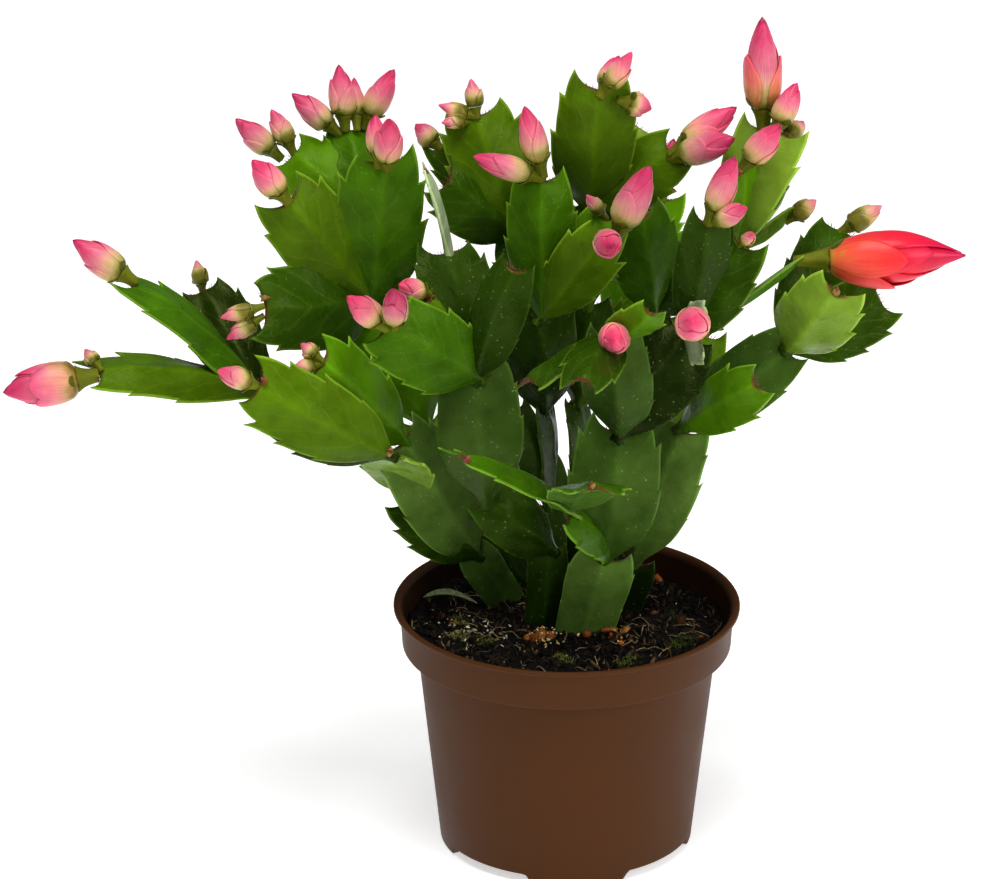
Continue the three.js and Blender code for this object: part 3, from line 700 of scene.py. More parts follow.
def directions(start, end, turn=0.0):
    """Unit vectors along, across and out of a segment, by projecting the viewer's direction off its axis."""
    along = unit(np.subtract(end, start))
    towards = UP if abs(along @ VIEWER) > END_ON else VIEWER
    out = unit(towards - along * (towards @ along))
    angle = np.radians(turn)
    out = out * np.cos(angle) + np.cross(along, out) * np.sin(angle)
    return along, np.cross(out, along), out


# %% [markdown]
# ## A segment
# Real segments are fleshy: about three millimetres thick at the rib and thin at the edge, gently cupped and
# a little wavy. Each side has two or three teeth that point forwards, with a hair-filled notch behind each,
# and the far end is cut off between two horns. Modelling the outline with a knife would leave hard jumps, so
# the surface is a function of two parameters instead: one runs from root to tip, the other from edge to
# edge. A saw-tooth wave, which acts only near the edge, pushes the outline outwards and forwards up to each
# tooth and lets go behind it.

# %% Outline of a segment
OUTLINES = {
    "wide": ((0, 0.07, 0.14, 0.24, 0.38, 0.56, 0.76, 0.9, 1),
             (0.14, 0.17, 0.36, 0.66, 0.86, 0.93, 0.86, 0.74, 0.56)),
    "narrow": ((0, 0.08, 0.16, 0.28, 0.45, 0.66, 0.85, 1), (0.18, 0.2, 0.38, 0.7, 0.88, 0.92, 0.8, 0.54)),
    "rooted": ((0, 0.2, 0.45, 0.7, 0.88, 1), (0.78, 0.84, 0.88, 0.93, 0.88, 0.7)),
}
NARROW_BELOW = 26  # the width under which a segment counts as narrow
TEETH = {"wide": (0.4, 0.62, 0.84), "narrow": (0.52, 0.79), "rooted": (0.45, 0.78)}
TOOTH_STRAY = 0.035  # how far a tooth may lie from its place, as a share of the length
NOTCH = 0.02  # the share of the length over which a tooth falls back
TOOTH_HEIGHT = 0.17
WORN_TEETH = 0.55  # how much of its teeth an old segment has lost
TOOTH_LEAN = 0.05
SIDE_SHIFT = 0.035  # the teeth of one side stand this much further on than those of the other
TIP_MIDDLE, TIP_HORN = 0.975, 1.06
HALF_COLUMNS = (0, 0.06, 0.13, 0.22, 0.33, 0.46, 0.6, 0.73, 0.84, 0.92, 0.97, 1)
COLUMNS = np.array([-c for c in HALF_COLUMNS[:0:-1]] + list(HALF_COLUMNS))


def segment_rows(teeth, rng):
    """The rows of a segment: their share of its length, and a saw-tooth wave for each of its two sides.

    From a notch to the next tooth the wave rises as a lobe, 1 − (1 − x)², and ends in a point, x⁸.
    """
    marks = (0.0, *teeth, 1.0)
    stretches = []
    for i, (low, high) in enumerate(zip(marks, marks[1:])):
        x = np.linspace(0, 1, 15 if i == 0 else 11)
        start = low + (NOTCH if i else 0)
        lobe = 0.6 * (1 - (1 - x) ** 2) + 0.5 * x**8 if high < 1 else 0.45 * (1 - (1 - x) ** 2)
        wave = (x**3 if i == 0 else lobe) * (0.2 + 1.1 * high)
        both = wave * rng.uniform(0.6, 1.3, (2, 1))
        stretches.append(np.stack([start + (high - start) * x, *both], -1))
    table = np.concatenate(stretches)
    return table[:, :1], table[:, 1:]


def segment_outline(kind, width, age, rng):
    """The grid of a segment: its teeth, its rows and columns, half its width, and each point's place.

    The place along is the row's share, shortened between the horns and leaning forwards at each tooth. The
    place across is the column's share of half the width, pushed out at each tooth.
    """
    teeth = np.array(TEETH[kind]) + rng.uniform(-TOOTH_STRAY, TOOTH_STRAY, len(TEETH[kind]))
    s, sides = segment_rows(teeth, rng)
    v = COLUMNS[None, :]
    saw = np.where(v < 0, sides[:, :1], sides[:, 1:])
    half = through(s, *OUTLINES[kind]) * width / 2
    height = TOOTH_HEIGHT * (1 - WORN_TEETH * age) * rng.uniform(0.8, 1.2) * (0.5 if kind == "rooted" else 1)
    horns = np.where(v < 0, rng.uniform(0.3, 1.3), rng.uniform(0.3, 1.3))
    horn = TIP_MIDDLE + (TIP_HORN - TIP_MIDDLE) * horns * np.abs(v) ** 3.5
    t = s * (1 + (horn - 1) * s**5)
    t = t + TOOTH_LEAN * saw * np.abs(v) ** 12
    t = t + SIDE_SHIFT * rng.choice([-1, 1]) * v * np.abs(v) * np.sin(np.pi * s)
    sideways = v * half * (1 + height * saw * np.abs(v) ** 6)
    return teeth, s, v, half, t, sideways


# %% [markdown]
# A segment is never flat. Its halves fold back from the rib, its edges cup and wave, the whole twists and
# curls towards its tip, and a rooted one does little of it, because it is old and stiff.
# Each of these is a term in rows and columns with a random strength. The flesh is thickest at the rib, with a
# ridge on it, and thins out towards the edge and the cut-off end.

# %% Bend and thickness of a segment
FULL_WIDTH = 22  # segments narrower than this bend less
STIFF = 0.3  # how much of its bend a rooted segment has
RIB_HALF, EDGE_HALF = 1.2, 0.28  # half the thickness at the rib and at the edge
CORKY = 1.5  # how much thicker a rooted segment is at its rib
RIDGE = 0.45
RIDGE_WIDTH = 1.9
THIN_END = 0.75  # the share of the flesh that is gone at the cut-off end


def segment_bend(s, v, width, rooted, rng):
    """How far the sheet leaves its plane, in half widths: fold, cup, wave, twist, curl and ripple."""
    fold, cup, wave = rng.uniform(0.08, 0.3), rng.uniform(-0.05, 0.08), rng.uniform(-0.09, 0.09)
    twist, curl, start = rng.uniform(-0.15, 0.15), rng.uniform(-0.1, 0.16), rng.uniform(0, 6)
    crease = np.sqrt(v**2 + 0.02) - 0.14
    ripple = 0.018 * np.sin(17 * s + 3 * v + start) + 0.014 * np.sin(11 * s - 7 * v + 2 * start)
    lift = 0.4 * (1 - s**4)  # keeps the folded segment about its flat middle
    bend = fold * (lift - crease) - cup * v**2 + wave * v**2 * np.sin(9 * s + start) + twist * v * (s - 0.4)
    strength = STIFF if rooted else min(1, width / FULL_WIDTH)
    return (bend - curl * s**3 + ripple) * strength * np.minimum(4 * s, 1)


def segment_thickness(s, v, half, rooted):
    """Half the thickness: the edge's, flesh that fills to the rib, and a ridge as a bell curve on the rib."""
    flesh = (RIB_HALF * (CORKY if rooted else 1) - EDGE_HALF) * (1 - v**2) ** 0.6
    flesh = flesh + RIDGE * np.exp(-((v * half / RIDGE_WIDTH) ** 2))
    return EDGE_HALF + flesh * (1 - THIN_END * s**16)


def segment_tint(tone, points, rng):
    """The tone for the upper side's points, and for the lower side's the tone with some pale underside."""
    body = tint_of(tone)
    age = body[3]
    body[:3] *= rng.uniform(0.85, 1.15)
    pale = np.array([*linear(UNDERSIDE)[:3], age])
    paler = UNDERSIDE_SHARE * (1 - age)
    return np.repeat([body, body * (1 - paler) + pale * paler], points, axis=0)


# %% [markdown]
# Now a segment can be put together. Its root is sunk into the segment below, as deep as the two have grown
# together, and its middle line may arch. The bristles will need to know where its cut-off end and its notches
# are, so it hands those back too.

# %% One segment
SUNK = 4.0  # how deep a root is sunk in the segment below
SUNK_IN_SOIL = 10.0


def segment_part(joint, tip, width, turn, arch, tone, rooted, rng):
    """One segment as a slab on its grid, about a middle line that arches as 4·arch·t·(1−t).

    It also returns the points of its cut-off end, and the points of its notches with their outward ways.
    """
    kind = "rooted" if rooted else "narrow" if width < NARROW_BELOW else "wide"
    along, across, out = directions(joint, tip, turn)
    root = np.asarray(joint, float) - (SUNK_IN_SOIL if rooted else SUNK) * along
    length = np.linalg.norm(np.subtract(tip, root))
    teeth, s, v, half, t, sideways = segment_outline(kind, width, TONES[tone][1], rng)
    bend = segment_bend(s, v, width, rooted, rng)
    middle = 4 * arch * t * (1 - np.minimum(t, 1)) + bend * width / 2
    thick = segment_thickness(s, v, half, rooted)

    spine = root + t[..., None] * length * along + sideways[..., None] * across
    top = spine + (middle + thick)[..., None] * out
    under = spine + (middle - thick)[..., None] * out
    segment = slab_part(top, under, (s, v, 0.0), segment_tint(tone, t.size, rng))
    behind = np.searchsorted(s[:, 0], teeth + NOTCH / 2)
    middle_line = (top + under) / 2
    notches = np.concatenate([middle_line[behind, 0], middle_line[behind, -1]])
    side = np.repeat([-1.0, 1.0], len(teeth))[:, None]
    return segment, top[-1], (notches, unit(along + 1.1 * side * across))


# %% [markdown]
# ## Stalks and knobs
# A bud sits on a short green stalk, ribbed lengthwise and wider at its mouth. It is a tube: rings round an
# axis, with a radius that is a smooth curve along it. Its foot is sunk into the segment that bears it.

# %% Tubes along an axis
SOIL_LEVEL = 78.0
BLADE_FROM = 5.0  # how far above the soil the joint of a rooted segment lies
STALK_SHARE = 0.18  # the share of a bud's length that its stalk takes
STALK_SUNK = 2
RIB_SWELL = 0.1
STALK_CURVE = ((0, 0.3, 0.75, 1), (0.17, 0.18, 0.24, 0.32))
FLOWER_STALK_CURVE = ((0, 0.2, 0.6, 1), (0.09, 0.1, 0.15, 0.21))


def circle(sides):
    """That many angles, evenly round a circle."""
    return np.arange(sides) / sides * 2 * np.pi


def turned_part(base, end, stations, radii, sides, place_x, tint, ribs=0):
    """A tube round the axis from base to end: a radius for each station, and a swelling at each rib."""
    along, across, out = directions(base, end)
    length = np.linalg.norm(np.subtract(end, base))
    angle = circle(sides)
    swell = 1 + RIB_SWELL * np.cos(ribs * angle) * (ribs > 0)
    radius = np.asarray(radii)[:, None] * swell[None, :]
    spoke = np.cos(angle)[:, None] * out + np.sin(angle)[:, None] * np.cross(along, out)
    rings = np.asarray(base, float) + (np.asarray(stations) * length)[:, None, None] * along
    rings = rings + radius[..., None] * spoke
    poles = np.asarray(base, float) + np.outer([stations[0], stations[-1]], along) * length
    x = np.interp(np.append(np.repeat(stations, sides), [0, 1]), [0, 1], place_x)
    return tube_part(rings, poles, np.outer(x, (1, 0, 0)), tint)


def stalk_part(base, tip, width, curve=STALK_CURVE):
    """The ribbed green stalk of a bud: it fills the first share of the way to the bud's tip."""
    base, tip = np.asarray(base, float), np.asarray(tip, float)
    mouth = base + (tip - base) * STALK_SHARE
    foot = base - unit(tip - base) * STALK_SUNK
    stations = np.append(np.linspace(0, 1, 9), 1.0)
    radii = width * through(stations, *curve)
    radii[-1] *= 0.6
    return turned_part(foot, mouth, stations, radii, 20, (0.5, 0.5), tint_of("stalk"), ribs=5)


# %% [markdown]
# At many ends a bud is only just starting, as a reddish knob of tiny pointed scales. Each scale is a tube as
# well, thickest before its middle, and no two are quite the same brown.

# %% Starting buds
KNOB_SCALES = 7
KNOB_LENGTH = (1.5, 2.9)
KNOB_SUNK = 0.5
KNOB_COLOURS = ("#6e2f28", "#7d4334", "#5c3a20", "#85703a")


def knob_parts(at, rng):
    """A starting bud: small pointed scales that stand out of one areole in all directions."""
    at = np.asarray(at, float)
    stations = np.linspace(0, 1, 7)
    parts = []
    for way in unit(rng.normal(0, 0.7, (KNOB_SCALES, 3)) + (0, -0.5, 0.5)):
        size = rng.uniform(*KNOB_LENGTH)
        radii = size * 0.36 * np.sin(np.pi * (0.12 + 0.88 * stations) ** 0.8) + 0.02
        tint = [*linear(KNOB_COLOURS[rng.integers(4)])[:3], 0]
        parts.append(turned_part(at - way * KNOB_SUNK, at + way * size, stations, radii, 8, (0.5, 0.5),
                                 tint))
    return parts


# %% [markdown]
# ## Petals and scales
# A petal of a closed bud is a piece of the bud's own spindle, raised a little over the one below it, whose
# width closes to a point. Inside them is a slim core, so that nothing is hollow.

# %% One petal
PETAL_LIFT = 0.2  # each petal lies this far above the one before
PETAL_HALF = 0.15  # half the thickness of a petal
WIND = 26  # degrees that a petal winds round the bud from its foot to the bud's tip
TAPER = 0.3  # the share of its width at which a spindle begins to count as its tip
PETAL_GRID = (16, 11)  # points along and across
STALK_GAP = 0.1
BUD_CURVE = ((0, 0.05, 0.15, 0.33, 0.58, 0.8, 0.93, 0.98, 1),
             (0.3, 0.4, 0.47, 0.5, 0.45, 0.31, 0.16, 0.075, 0.01))


def before_tip(bare, width):
    """One along a spindle, falling to nothing where its bare radius gets small at the tip."""
    return np.minimum(bare / (TAPER * width), 1)


def petal_part(base, tip, curve, width, petal, lift, tint, open_by=0.0, size=PETAL_GRID, blunt=2.4):
    """A petal on a spindle: its radius is the spindle's and a lift, and its width closes to a point.

    The petal is its reach along the spindle, its middle in degrees round it, and its half width in degrees.
    The lift fades with the spindle's radius towards the tip, where all petals meet. An open petal leaves the
    spindle as the square of the way to its own tip, and the blunter it is, the later its width closes.
    """
    reach, centre, half_angle = petal
    along, across, out = directions(base, tip)
    length = np.linalg.norm(np.subtract(tip, base))
    u = np.linspace(0, 1, size[0])[:, None]
    v = np.linspace(-1, 1, size[1])[None, :]
    span = np.radians(half_angle) * (0.85 + 0.3 * np.sin(np.pi * u)) * (1 - u**blunt) ** 0.6 + 0.01
    t = u * reach
    angle = np.radians(centre + WIND * t) - v * span
    bare = through(t, *curve) * width
    radius = bare + (lift - PETAL_LIFT * 0.8 * v**4) * before_tip(bare, width)
    radius = radius + open_by * u**2 * (1 - 0.3 * v**2)
    spoke = np.cos(angle)[..., None] * out + np.sin(angle)[..., None] * np.cross(along, out)
    centre_line = np.asarray(base, float) + ((t + 0 * v) * length)[..., None] * along
    top = centre_line + (radius + PETAL_HALF)[..., None] * spoke
    under = centre_line + (radius - PETAL_HALF)[..., None] * spoke
    return slab_part(top, under, (t, v, lift), tint)


def core_part(base, tip, curve, width, lift, grid, tint):
    """The slim core inside the petals: a tube on the spindle with a lift, here downwards, before its tip."""
    stations = np.linspace(0, 1, grid[0])
    bare = through(stations, *curve) * width
    return turned_part(base, tip, stations, bare + lift * before_tip(bare, width), grid[1], (0, 1), tint)


def petals_from(base, tip):
    """Where a bud's petals begin and end: from just above the stalk's mouth to the tip."""
    base, tip = np.asarray(base, float), np.asarray(tip, float)
    return base + (tip - base) * STALK_SHARE + unit(tip - base) * STALK_GAP, tip


# %% [markdown]
# The same function makes the small green scales round a bud's mouth, which are petals that stayed short.

# %% Green scales
SCALES = 3
SCALE_REACH = (0.1, 0.17)
SCALE_HALF_ANGLE = 26
SCALE_LIFT, SCALE_OPEN = 0.25, 0.3
SCALE_GRID = (8, 7)


def scale_parts(base, tip, width, curve, rng):
    """Green scales at a bud's mouth: short pointed petals, evenly round it."""
    first = rng.uniform(0, 360 / SCALES)
    base, tip = petals_from(base, tip)
    parts = []
    for k in range(SCALES):
        petal = (rng.uniform(*SCALE_REACH), first + 360 / SCALES * k, SCALE_HALF_ANGLE)
        parts.append(petal_part(base, tip, curve, width, petal, SCALE_LIFT, tint_of("stalk"), SCALE_OPEN,
                                SCALE_GRID))
    return parts


# %% [markdown]
# ## The stems
# Now the skeleton is walked once for each stem. Every segment also hands back the points of its cut-off end
# and those of its notches, because that is where the bristles will stand.

# %% Build the stems
OUTER_CURVE = ((0, 0.1, 0.34, 0.56, 0.74, 1), (0.2, 0.33, 0.47, 0.45, 0.36, 0.2))  # of the open flower

rng = np.random.default_rng(12)
tip_ends, notches = [], []
for name, stem in STEMS.items():
    rows = stem["segments"]
    parts = []
    for below, tip, width, turn, arch, tone in rows:
        rooted = below is None
        joint = (*stem["root"], SOIL_LEVEL + BLADE_FROM) if rooted else rows[below][1]
        segment, end, notch = segment_part(joint, tip, width, turn, arch, tone, rooted, rng)
        parts.append(segment)
        notches.append(notch)
        tip_ends.append((end, directions(joint, tip, turn), width))
    skin_points = np.concatenate([segment["points"] for segment in parts])
    for base, tip, width, *_ in stem["buds"]:
        parts += [stalk_part(base, tip, width), *scale_parts(base, tip, width, BUD_CURVE, rng)]
    for knob in stem["knobs"]:
        nearest = np.argmin(np.linalg.norm(skin_points - knob, axis=1))
        parts += knob_parts(skin_points[nearest], rng)
    if "flower" in stem:
        base, tip, width = stem["flower"]
        parts.append(stalk_part(base, tip, width, FLOWER_STALK_CURVE))
        parts += scale_parts(base, tip, width, OUTER_CURVE, rng)
    add_piece(f"{name}_skin", parts, skin, "stem", name)

# %% [markdown]
# ## Buds
# A closed bud is a spindle of petals wrapped round each other, the outer ones shorter, each with a pointed
# tip that lies on the next. A single smooth drop would look like a bean, so each petal is a slab of its own,
# a fifth of a millimetre above the one below it. Successive petals start 144 degrees round, as they do on the
# plant. Small buds are still olive, which their tint's fourth number says.

# %% Bud petals
BUD_PETALS = ((0.95, 84), (0.86, 78), (0.73, 72), (0.6, 64))  # reach and half width in degrees
SMALL_BELOW = 8
PETAL_STEP = 144
BUD_CORE_GRID = (18, 20)
LOOSE_GRID = (20, 15)
LOOSE_HALF_ANGLE, LOOSE_LIFT, LOOSE_OPEN = 66, 0.15, 0.5
LOOSE_TINTS = {"pink": (1.1, 0.75, 0.95, 1), "orange": (1.1, 0.6, 0.55, 1)}


def bud_parts(base, tip, width, notes, rng):
    """A bud: a slim core, its wrapped petals and any loose ones.

    The note "green" marks an unripe bud, and "bright" one that is lighter, with its ripeness set to 0.82.
    """
    base, tip = petals_from(base, tip)
    loose = [note for note in notes if note not in ("green", "bright")]
    first = rng.uniform(0, 360)
    ripe = 0.3 if "green" in notes else min(1.0, width / 9 + rng.uniform(-0.15, 0.1))
    ripe = 0.82 if "bright" in notes else ripe
    shade = rng.uniform(0.88, 1.12) * (1.3 if "bright" in notes else 1)
    tint = [shade, shade**0.5, shade**0.5, ripe]
    petals = BUD_PETALS if width >= SMALL_BELOW else BUD_PETALS[1:]
    under = -PETAL_LIFT * (len(petals) - 0.5) - PETAL_HALF
    parts = [core_part(base, tip, BUD_CURVE, width, under, BUD_CORE_GRID, tint)]
    for k, (reach, half_angle) in enumerate(petals):
        petal = (reach, first + PETAL_STEP * k, half_angle)
        parts.append(petal_part(base, tip, BUD_CURVE, width, petal, PETAL_LIFT * (k + 1) + under, tint))
    for k, (reach, centre, warmth) in enumerate(loose):
        petal = (reach, centre, LOOSE_HALF_ANGLE)
        parts.append(petal_part(base, tip, BUD_CURVE, width, petal, LOOSE_LIFT * k, LOOSE_TINTS[warmth],
                                LOOSE_OPEN, LOOSE_GRID))
    return parts


for name, stem in STEMS.items():
    nodes = [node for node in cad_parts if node.startswith(f"{name}_bud_")]
    parts = []
    for base, tip, width, *notes in stem["buds"]:
        parts += bud_parts(base, tip, width, notes, rng)
    add_piece(f"{name}_buds", parts, pink_petal, "bud", *nodes)

# %% [markdown]
# ## The opening flower
# The flower at the right is about to open: a pointed cone of inner petals, still closed, and outer ones that
# have begun to stand off it. The same petal function makes both, with a slimmer curve for the cone and a
# fuller one, opened outwards and with blunter tips, for the outer petals.

# %% Flower petals
CONE_CURVE = ((0, 0.1, 0.34, 0.56, 0.74, 0.88, 1), (0.19, 0.3, 0.42, 0.41, 0.28, 0.14, 0.02))
FLOWER_GRID = (26, 17)
FLOWER_CORE_GRID = (24, 28)
FLOWER_CORE_LIFT = -0.9
INNER = (CONE_CURVE, 0.0, 2.4)  # the curve, how far the petal opens, and how blunt its tip is
OUTER = (OUTER_CURVE, 0.5, 3.2)
FLOWER_PETALS = (  # the kind; reach, middle and half width; lift; tint
    (INNER, (0.93, 250, 78), -0.6, (0.95, 0.8, 1.1, 1)),
    (INNER, (0.85, 100, 74), -0.35, (0.95, 0.8, 1.1, 1)),
    (INNER, (0.76, 330, 66), -0.1, (0.95, 0.8, 1.1, 1)),
    (INNER, (0.97, 262, 66), 0.6, (1, 0.75, 1.05, 1)),
    (OUTER, (0.66, 118, 48), 0.0, (1, 0.9, 1, 1)),
    (OUTER, (0.62, 190, 52), 0.25, (1, 0.9, 1, 1)),
    (OUTER, (0.47, 68, 44), 0.5, (1, 0.9, 1, 1)),
    (OUTER, (0.56, -6, 38), 0.75, (1.02, 1.25, 0.95, 1)),
)

base, tip, width = STEMS["stem_front"]["flower"]
base, tip = petals_from(base, tip)
parts = [core_part(base, tip, CONE_CURVE, width, FLOWER_CORE_LIFT, FLOWER_CORE_GRID, (0.9, 0.9, 1, 1))]
for (curve, open_by, blunt), petal, lift, tint in FLOWER_PETALS:
    parts.append(petal_part(base, tip, curve, width, petal, lift, tint, open_by, FLOWER_GRID, blunt))
add_piece("flower_petals", parts, red_petal, "flower", "flower")

# %% [markdown]
# ## Bristles
# Every cut-off end and every notch carries an areole, a small cushion of brown hairs. They are too fine for
# the picture at their true width, so they are drawn a little thicker. Each is the simplest closed shape
# there is, a long three-sided point, because there are thousands of them.

# %% Bristles at the ends
BRISTLES = 22
BRISTLE_LENGTH = (0.8, 3.0)
BRISTLE_RADIUS = 0.16
BRISTLE_SPREAD = 0.62  # the share of half the end's width that carries them
BRISTLE_DEPTH = 0.6  # how deep their feet are set in the flesh
BRISTLE_BELOW = 0.8  # how far their feet lie under the upper side of the end
NOTCH_BRISTLES = 3  # the hairs in one notch
NOTCH_LENGTH = (0.5, 1.6)
NOTCH_DEPTH = 0.4


def copied_faces(faces, count, points):
    """The faces of a shape with so many points, for a count of its copies."""
    return ((np.arange(count) * points)[:, None, None] + faces).reshape(-1, 3)


def spike_part(bases, tips, radius, tint):
    """Three-sided points: three corners round each base, at right angles to its spike, and one tip."""
    along = unit(tips - bases)
    side = unit(np.cross(along, unit([0.3, 0.5, 0.81])))
    other = np.cross(along, side)
    angle = circle(3)[None, :, None]
    corners = bases[:, None] + radius * (np.cos(angle) * side[:, None] + np.sin(angle) * other[:, None])
    points = np.concatenate([corners, tips[:, None]], axis=1)
    faces = np.array([[0, 1, 3], [1, 2, 3], [2, 0, 3], [2, 1, 0]])
    return part(points, [copied_faces(faces, len(bases), 4)], (0, 0, 0), tint)


starts, ends = [], []
for end, (along, across, out), width in tip_ends:
    spread = rng.uniform(-BRISTLE_SPREAD, BRISTLE_SPREAD, BRISTLES)
    column = np.abs(COLUMNS - spread[:, None]).argmin(1)
    length = rng.uniform(*BRISTLE_LENGTH, BRISTLES)[:, None]
    away = along + 0.9 * spread[:, None] * across + rng.normal(0, 0.45, (BRISTLES, 1)) * out
    at = end[column] - BRISTLE_BELOW * out - BRISTLE_DEPTH * along
    starts.append(at)
    ends.append(at + unit(away) * (length + BRISTLE_DEPTH))
for at, outward in notches:
    at, outward = np.repeat(at, NOTCH_BRISTLES, axis=0), np.repeat(outward, NOTCH_BRISTLES, axis=0)
    way = unit(outward + rng.normal(0, 0.3, outward.shape))
    starts.append(at - NOTCH_DEPTH * outward)
    ends.append(at + way * rng.uniform(*NOTCH_LENGTH, len(at))[:, None])
spikes = spike_part(np.concatenate(starts), np.concatenate(ends), BRISTLE_RADIUS, linear("#6b3524"))
print("bristles:", len(spikes["points"]) // 4)

# %% [markdown]
# The hairs vary in brown. Their tint is multiplied by a noise, which the soil's crumbs will use as well.

# %% Bristle finish
BRISTLE_GRAIN = 1.5


def mottled_tint(tree, grain, detail, shades):
    """The tint times a noise whose low and high values are mapped to shades, and the noise itself."""
    where = add(tree, "TexCoord").outputs["Object"]
    hue = add(tree, "Attribute", attribute_name="tint")
    noise = add(tree, "TexNoise", {"Scale": 1 / (grain * MM), "Detail": detail}, {"Vector": where})
    shade = add(tree, "MapRange", shades, {0: noise})
    mottled = add(tree, "Mix", {0: 1.0}, {6: hue.outputs["Color"], 7: shade},
                  data_type="RGBA", blend_type="MULTIPLY")
    return mottled, noise


bristle, tree, shader = new_material("brown_bristle", Roughness=0.6)
hair, _ = mottled_tint(tree, BRISTLE_GRAIN, 2.0, NOISE | {3: 0.7, 4: 1.35})
feed(shader, {"Base Color": hair})
add_piece("areole_bristles", [spikes], bristle, "stem")

# %% [markdown]
# ## The pot
# The pot is injection-moulded polypropylene, dyed brown all through: thin, a little waxy, with a soft sheen
# and no texture of its own but a faint ripple from the mould. It is turned from a profile whose corners are
# rounded, because a moulded edge is never sharp, and it is that thin bright line along each edge that makes
# plastic look real. The foot ring is then lifted between its feet.

# %% Pot shape
POT_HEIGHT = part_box("pot")[1].z / MM
LIP_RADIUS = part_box("pot")[1].x / MM
COLLAR = 15.0
COLLAR_TOP, COLLAR_LOW, BODY_TOP, FOOT_RADIUS = 57.8, 57.0, 52.0, 44.0
WALL = 1.2
LIP = 1.6
RIM_WIDTH = 1.7  # the lip's flat top, outside the flare of the inner wall
FLOOR_UNDER, FLOOR_TOP = 4.0, 5.4
BOSS_RADIUS = 8.0
FOOT_WIDTH, FOOT_LIFT, FEET, FIRST_FOOT = 2.2, 3.5, 4, 5.0
CORNER = 0.7  # the radius of its rounded edges
POT_SIDES = 192


def rounded(corners, radius, steps=5):
    """A profile whose corners are cut back by a radius, or half the shorter side, and bent as a parabola."""
    before, at, after = corners[:-2], corners[1:-1], corners[2:]
    reach_in = np.linalg.norm(before - at, axis=1, keepdims=True)
    reach_out = np.linalg.norm(after - at, axis=1, keepdims=True)
    cut = np.minimum(radius, 0.5 * np.minimum(reach_in, reach_out))
    first = at + (before - at) / reach_in * cut
    last = at + (after - at) / reach_out * cut
    t = np.linspace(0, 1, steps)[None, :, None]
    curve = (1 - t) ** 2 * first[:, None] + 2 * t * (1 - t) * at[:, None] + t**2 * last[:, None]
    return np.concatenate([corners[:1], curve.reshape(-1, 2), corners[-1:]])


def ring_points(radius, angle, height):
    """Points round the upright axis, at a radius, an angle and a height."""
    return np.stack(np.broadcast_arrays(radius * np.cos(angle), radius * np.sin(angle), height), -1)


shoulder = POT_HEIGHT - COLLAR
slope = (BODY_TOP - FOOT_RADIUS) / shoulder
profile = rounded(np.array([
    (0.01, 0),
    (BOSS_RADIUS, 0),
    (BOSS_RADIUS, FLOOR_UNDER),
    (FOOT_RADIUS - FOOT_WIDTH, FLOOR_UNDER),
    (FOOT_RADIUS - FOOT_WIDTH, 0),
    (FOOT_RADIUS, 0),
    (FOOT_RADIUS + slope * (FOOT_LIFT + 0.5), FOOT_LIFT + 0.5),
    (FOOT_RADIUS + slope * (FOOT_LIFT + 1.5), FOOT_LIFT + 1.5),
    (BODY_TOP - 4 * slope, shoulder - 4),
    (BODY_TOP, shoulder),
    (COLLAR_LOW, shoulder),
    (COLLAR_TOP, POT_HEIGHT - LIP),
    (LIP_RADIUS, POT_HEIGHT - LIP),
    (LIP_RADIUS, POT_HEIGHT),
    (LIP_RADIUS - RIM_WIDTH, POT_HEIGHT),
    (COLLAR_TOP - WALL, POT_HEIGHT - LIP),
    (COLLAR_LOW - WALL, shoulder + WALL),
    (BODY_TOP - WALL, shoulder + WALL),
    (FOOT_RADIUS + slope * FLOOR_TOP - WALL, FLOOR_TOP),
    (0.01, FLOOR_TOP),
]), CORNER)
angle = circle(POT_SIDES)
radius, height = profile[:, 0, None], profile[:, 1, None]
notch = np.clip(3 * np.cos(FEET * (angle - np.radians(FIRST_FOOT - 90 + 180 / FEET))) + 0.5, 0, 1)
notch = notch * notch * (3 - 2 * notch)
lifted = np.where(radius > BOSS_RADIUS + 1, np.maximum(height, FOOT_LIFT * notch), height)
rings = ring_points(radius, angle, lifted)
poles = [(0, 0, profile[0, 1]), (0, 0, profile[-1, 1])]
faces = [some[:, ::-1] for some in tube_faces(len(profile), POT_SIDES)]
below_lip = (np.arange(len(profile)) > np.argmax(profile[:, 1])) & (profile[:, 1] < POT_HEIGHT - 0.5)
inside = np.concatenate([np.repeat(below_lip, POT_SIDES), [False, True]])
pot_part = part(np.concatenate([rings.reshape(-1, 3), poles]), faces, (0, 0, 0),
                np.stack([inside, inside, inside, inside], -1))

# %% [markdown]
# The finish keeps the colour nearly even, as dyed plastic is. A broad cloud varies the sheen, because hands
# and water leave it unevenly, and a fine one gives the moulded surface its slight unrest. The wall inside is
# darkened, partly for the stain of wet peat and partly as painted shade in the pot's hollow; the tint's
# fourth number marks it.

# %% Pot finish
SMEAR_SIZE = 28.0
MOULD_RIPPLE = 9.0

plastic, tree, shader = new_material("moulded_brown_polypropylene", Roughness=0.38, IOR=1.49,
                                     Specular_IOR_Level=0.12, Specular_Tint=(1, 0.8, 0.6, 1))
where = add(tree, "TexCoord").outputs["Object"]
smear = add(tree, "TexNoise", {"Scale": 1 / (SMEAR_SIZE * MM), "Detail": 5.0}, {"Vector": where})
sheen = add(tree, "MapRange", NOISE | {3: 0.42, 4: 0.58}, {0: smear})
brown = add(tree, "Mix", {6: linear("#43240e"), 7: linear("#4c2b12")}, {0: smear}, data_type="RGBA")
side = add(tree, "Attribute", attribute_name="tint")
patchy = add(tree, "MapRange", NOISE | {3: 0.6, 4: 0.9}, {0: smear})
# the wall inside is darkened: partly a stain of wet peat, partly painted shade in the pot's hollow
stain_and_shade = add(tree, "Math", links={0: patchy, 1: side.outputs["Alpha"]}, operation="MULTIPLY")
stained_and_shaded = add(tree, "Mix", {7: linear("#180d09")}, {0: stain_and_shade, 6: brown}, data_type="RGBA")
ripple = add(tree, "TexNoise", {"Scale": 1 / (MOULD_RIPPLE * MM), "Detail": 2.0}, {"Vector": where})
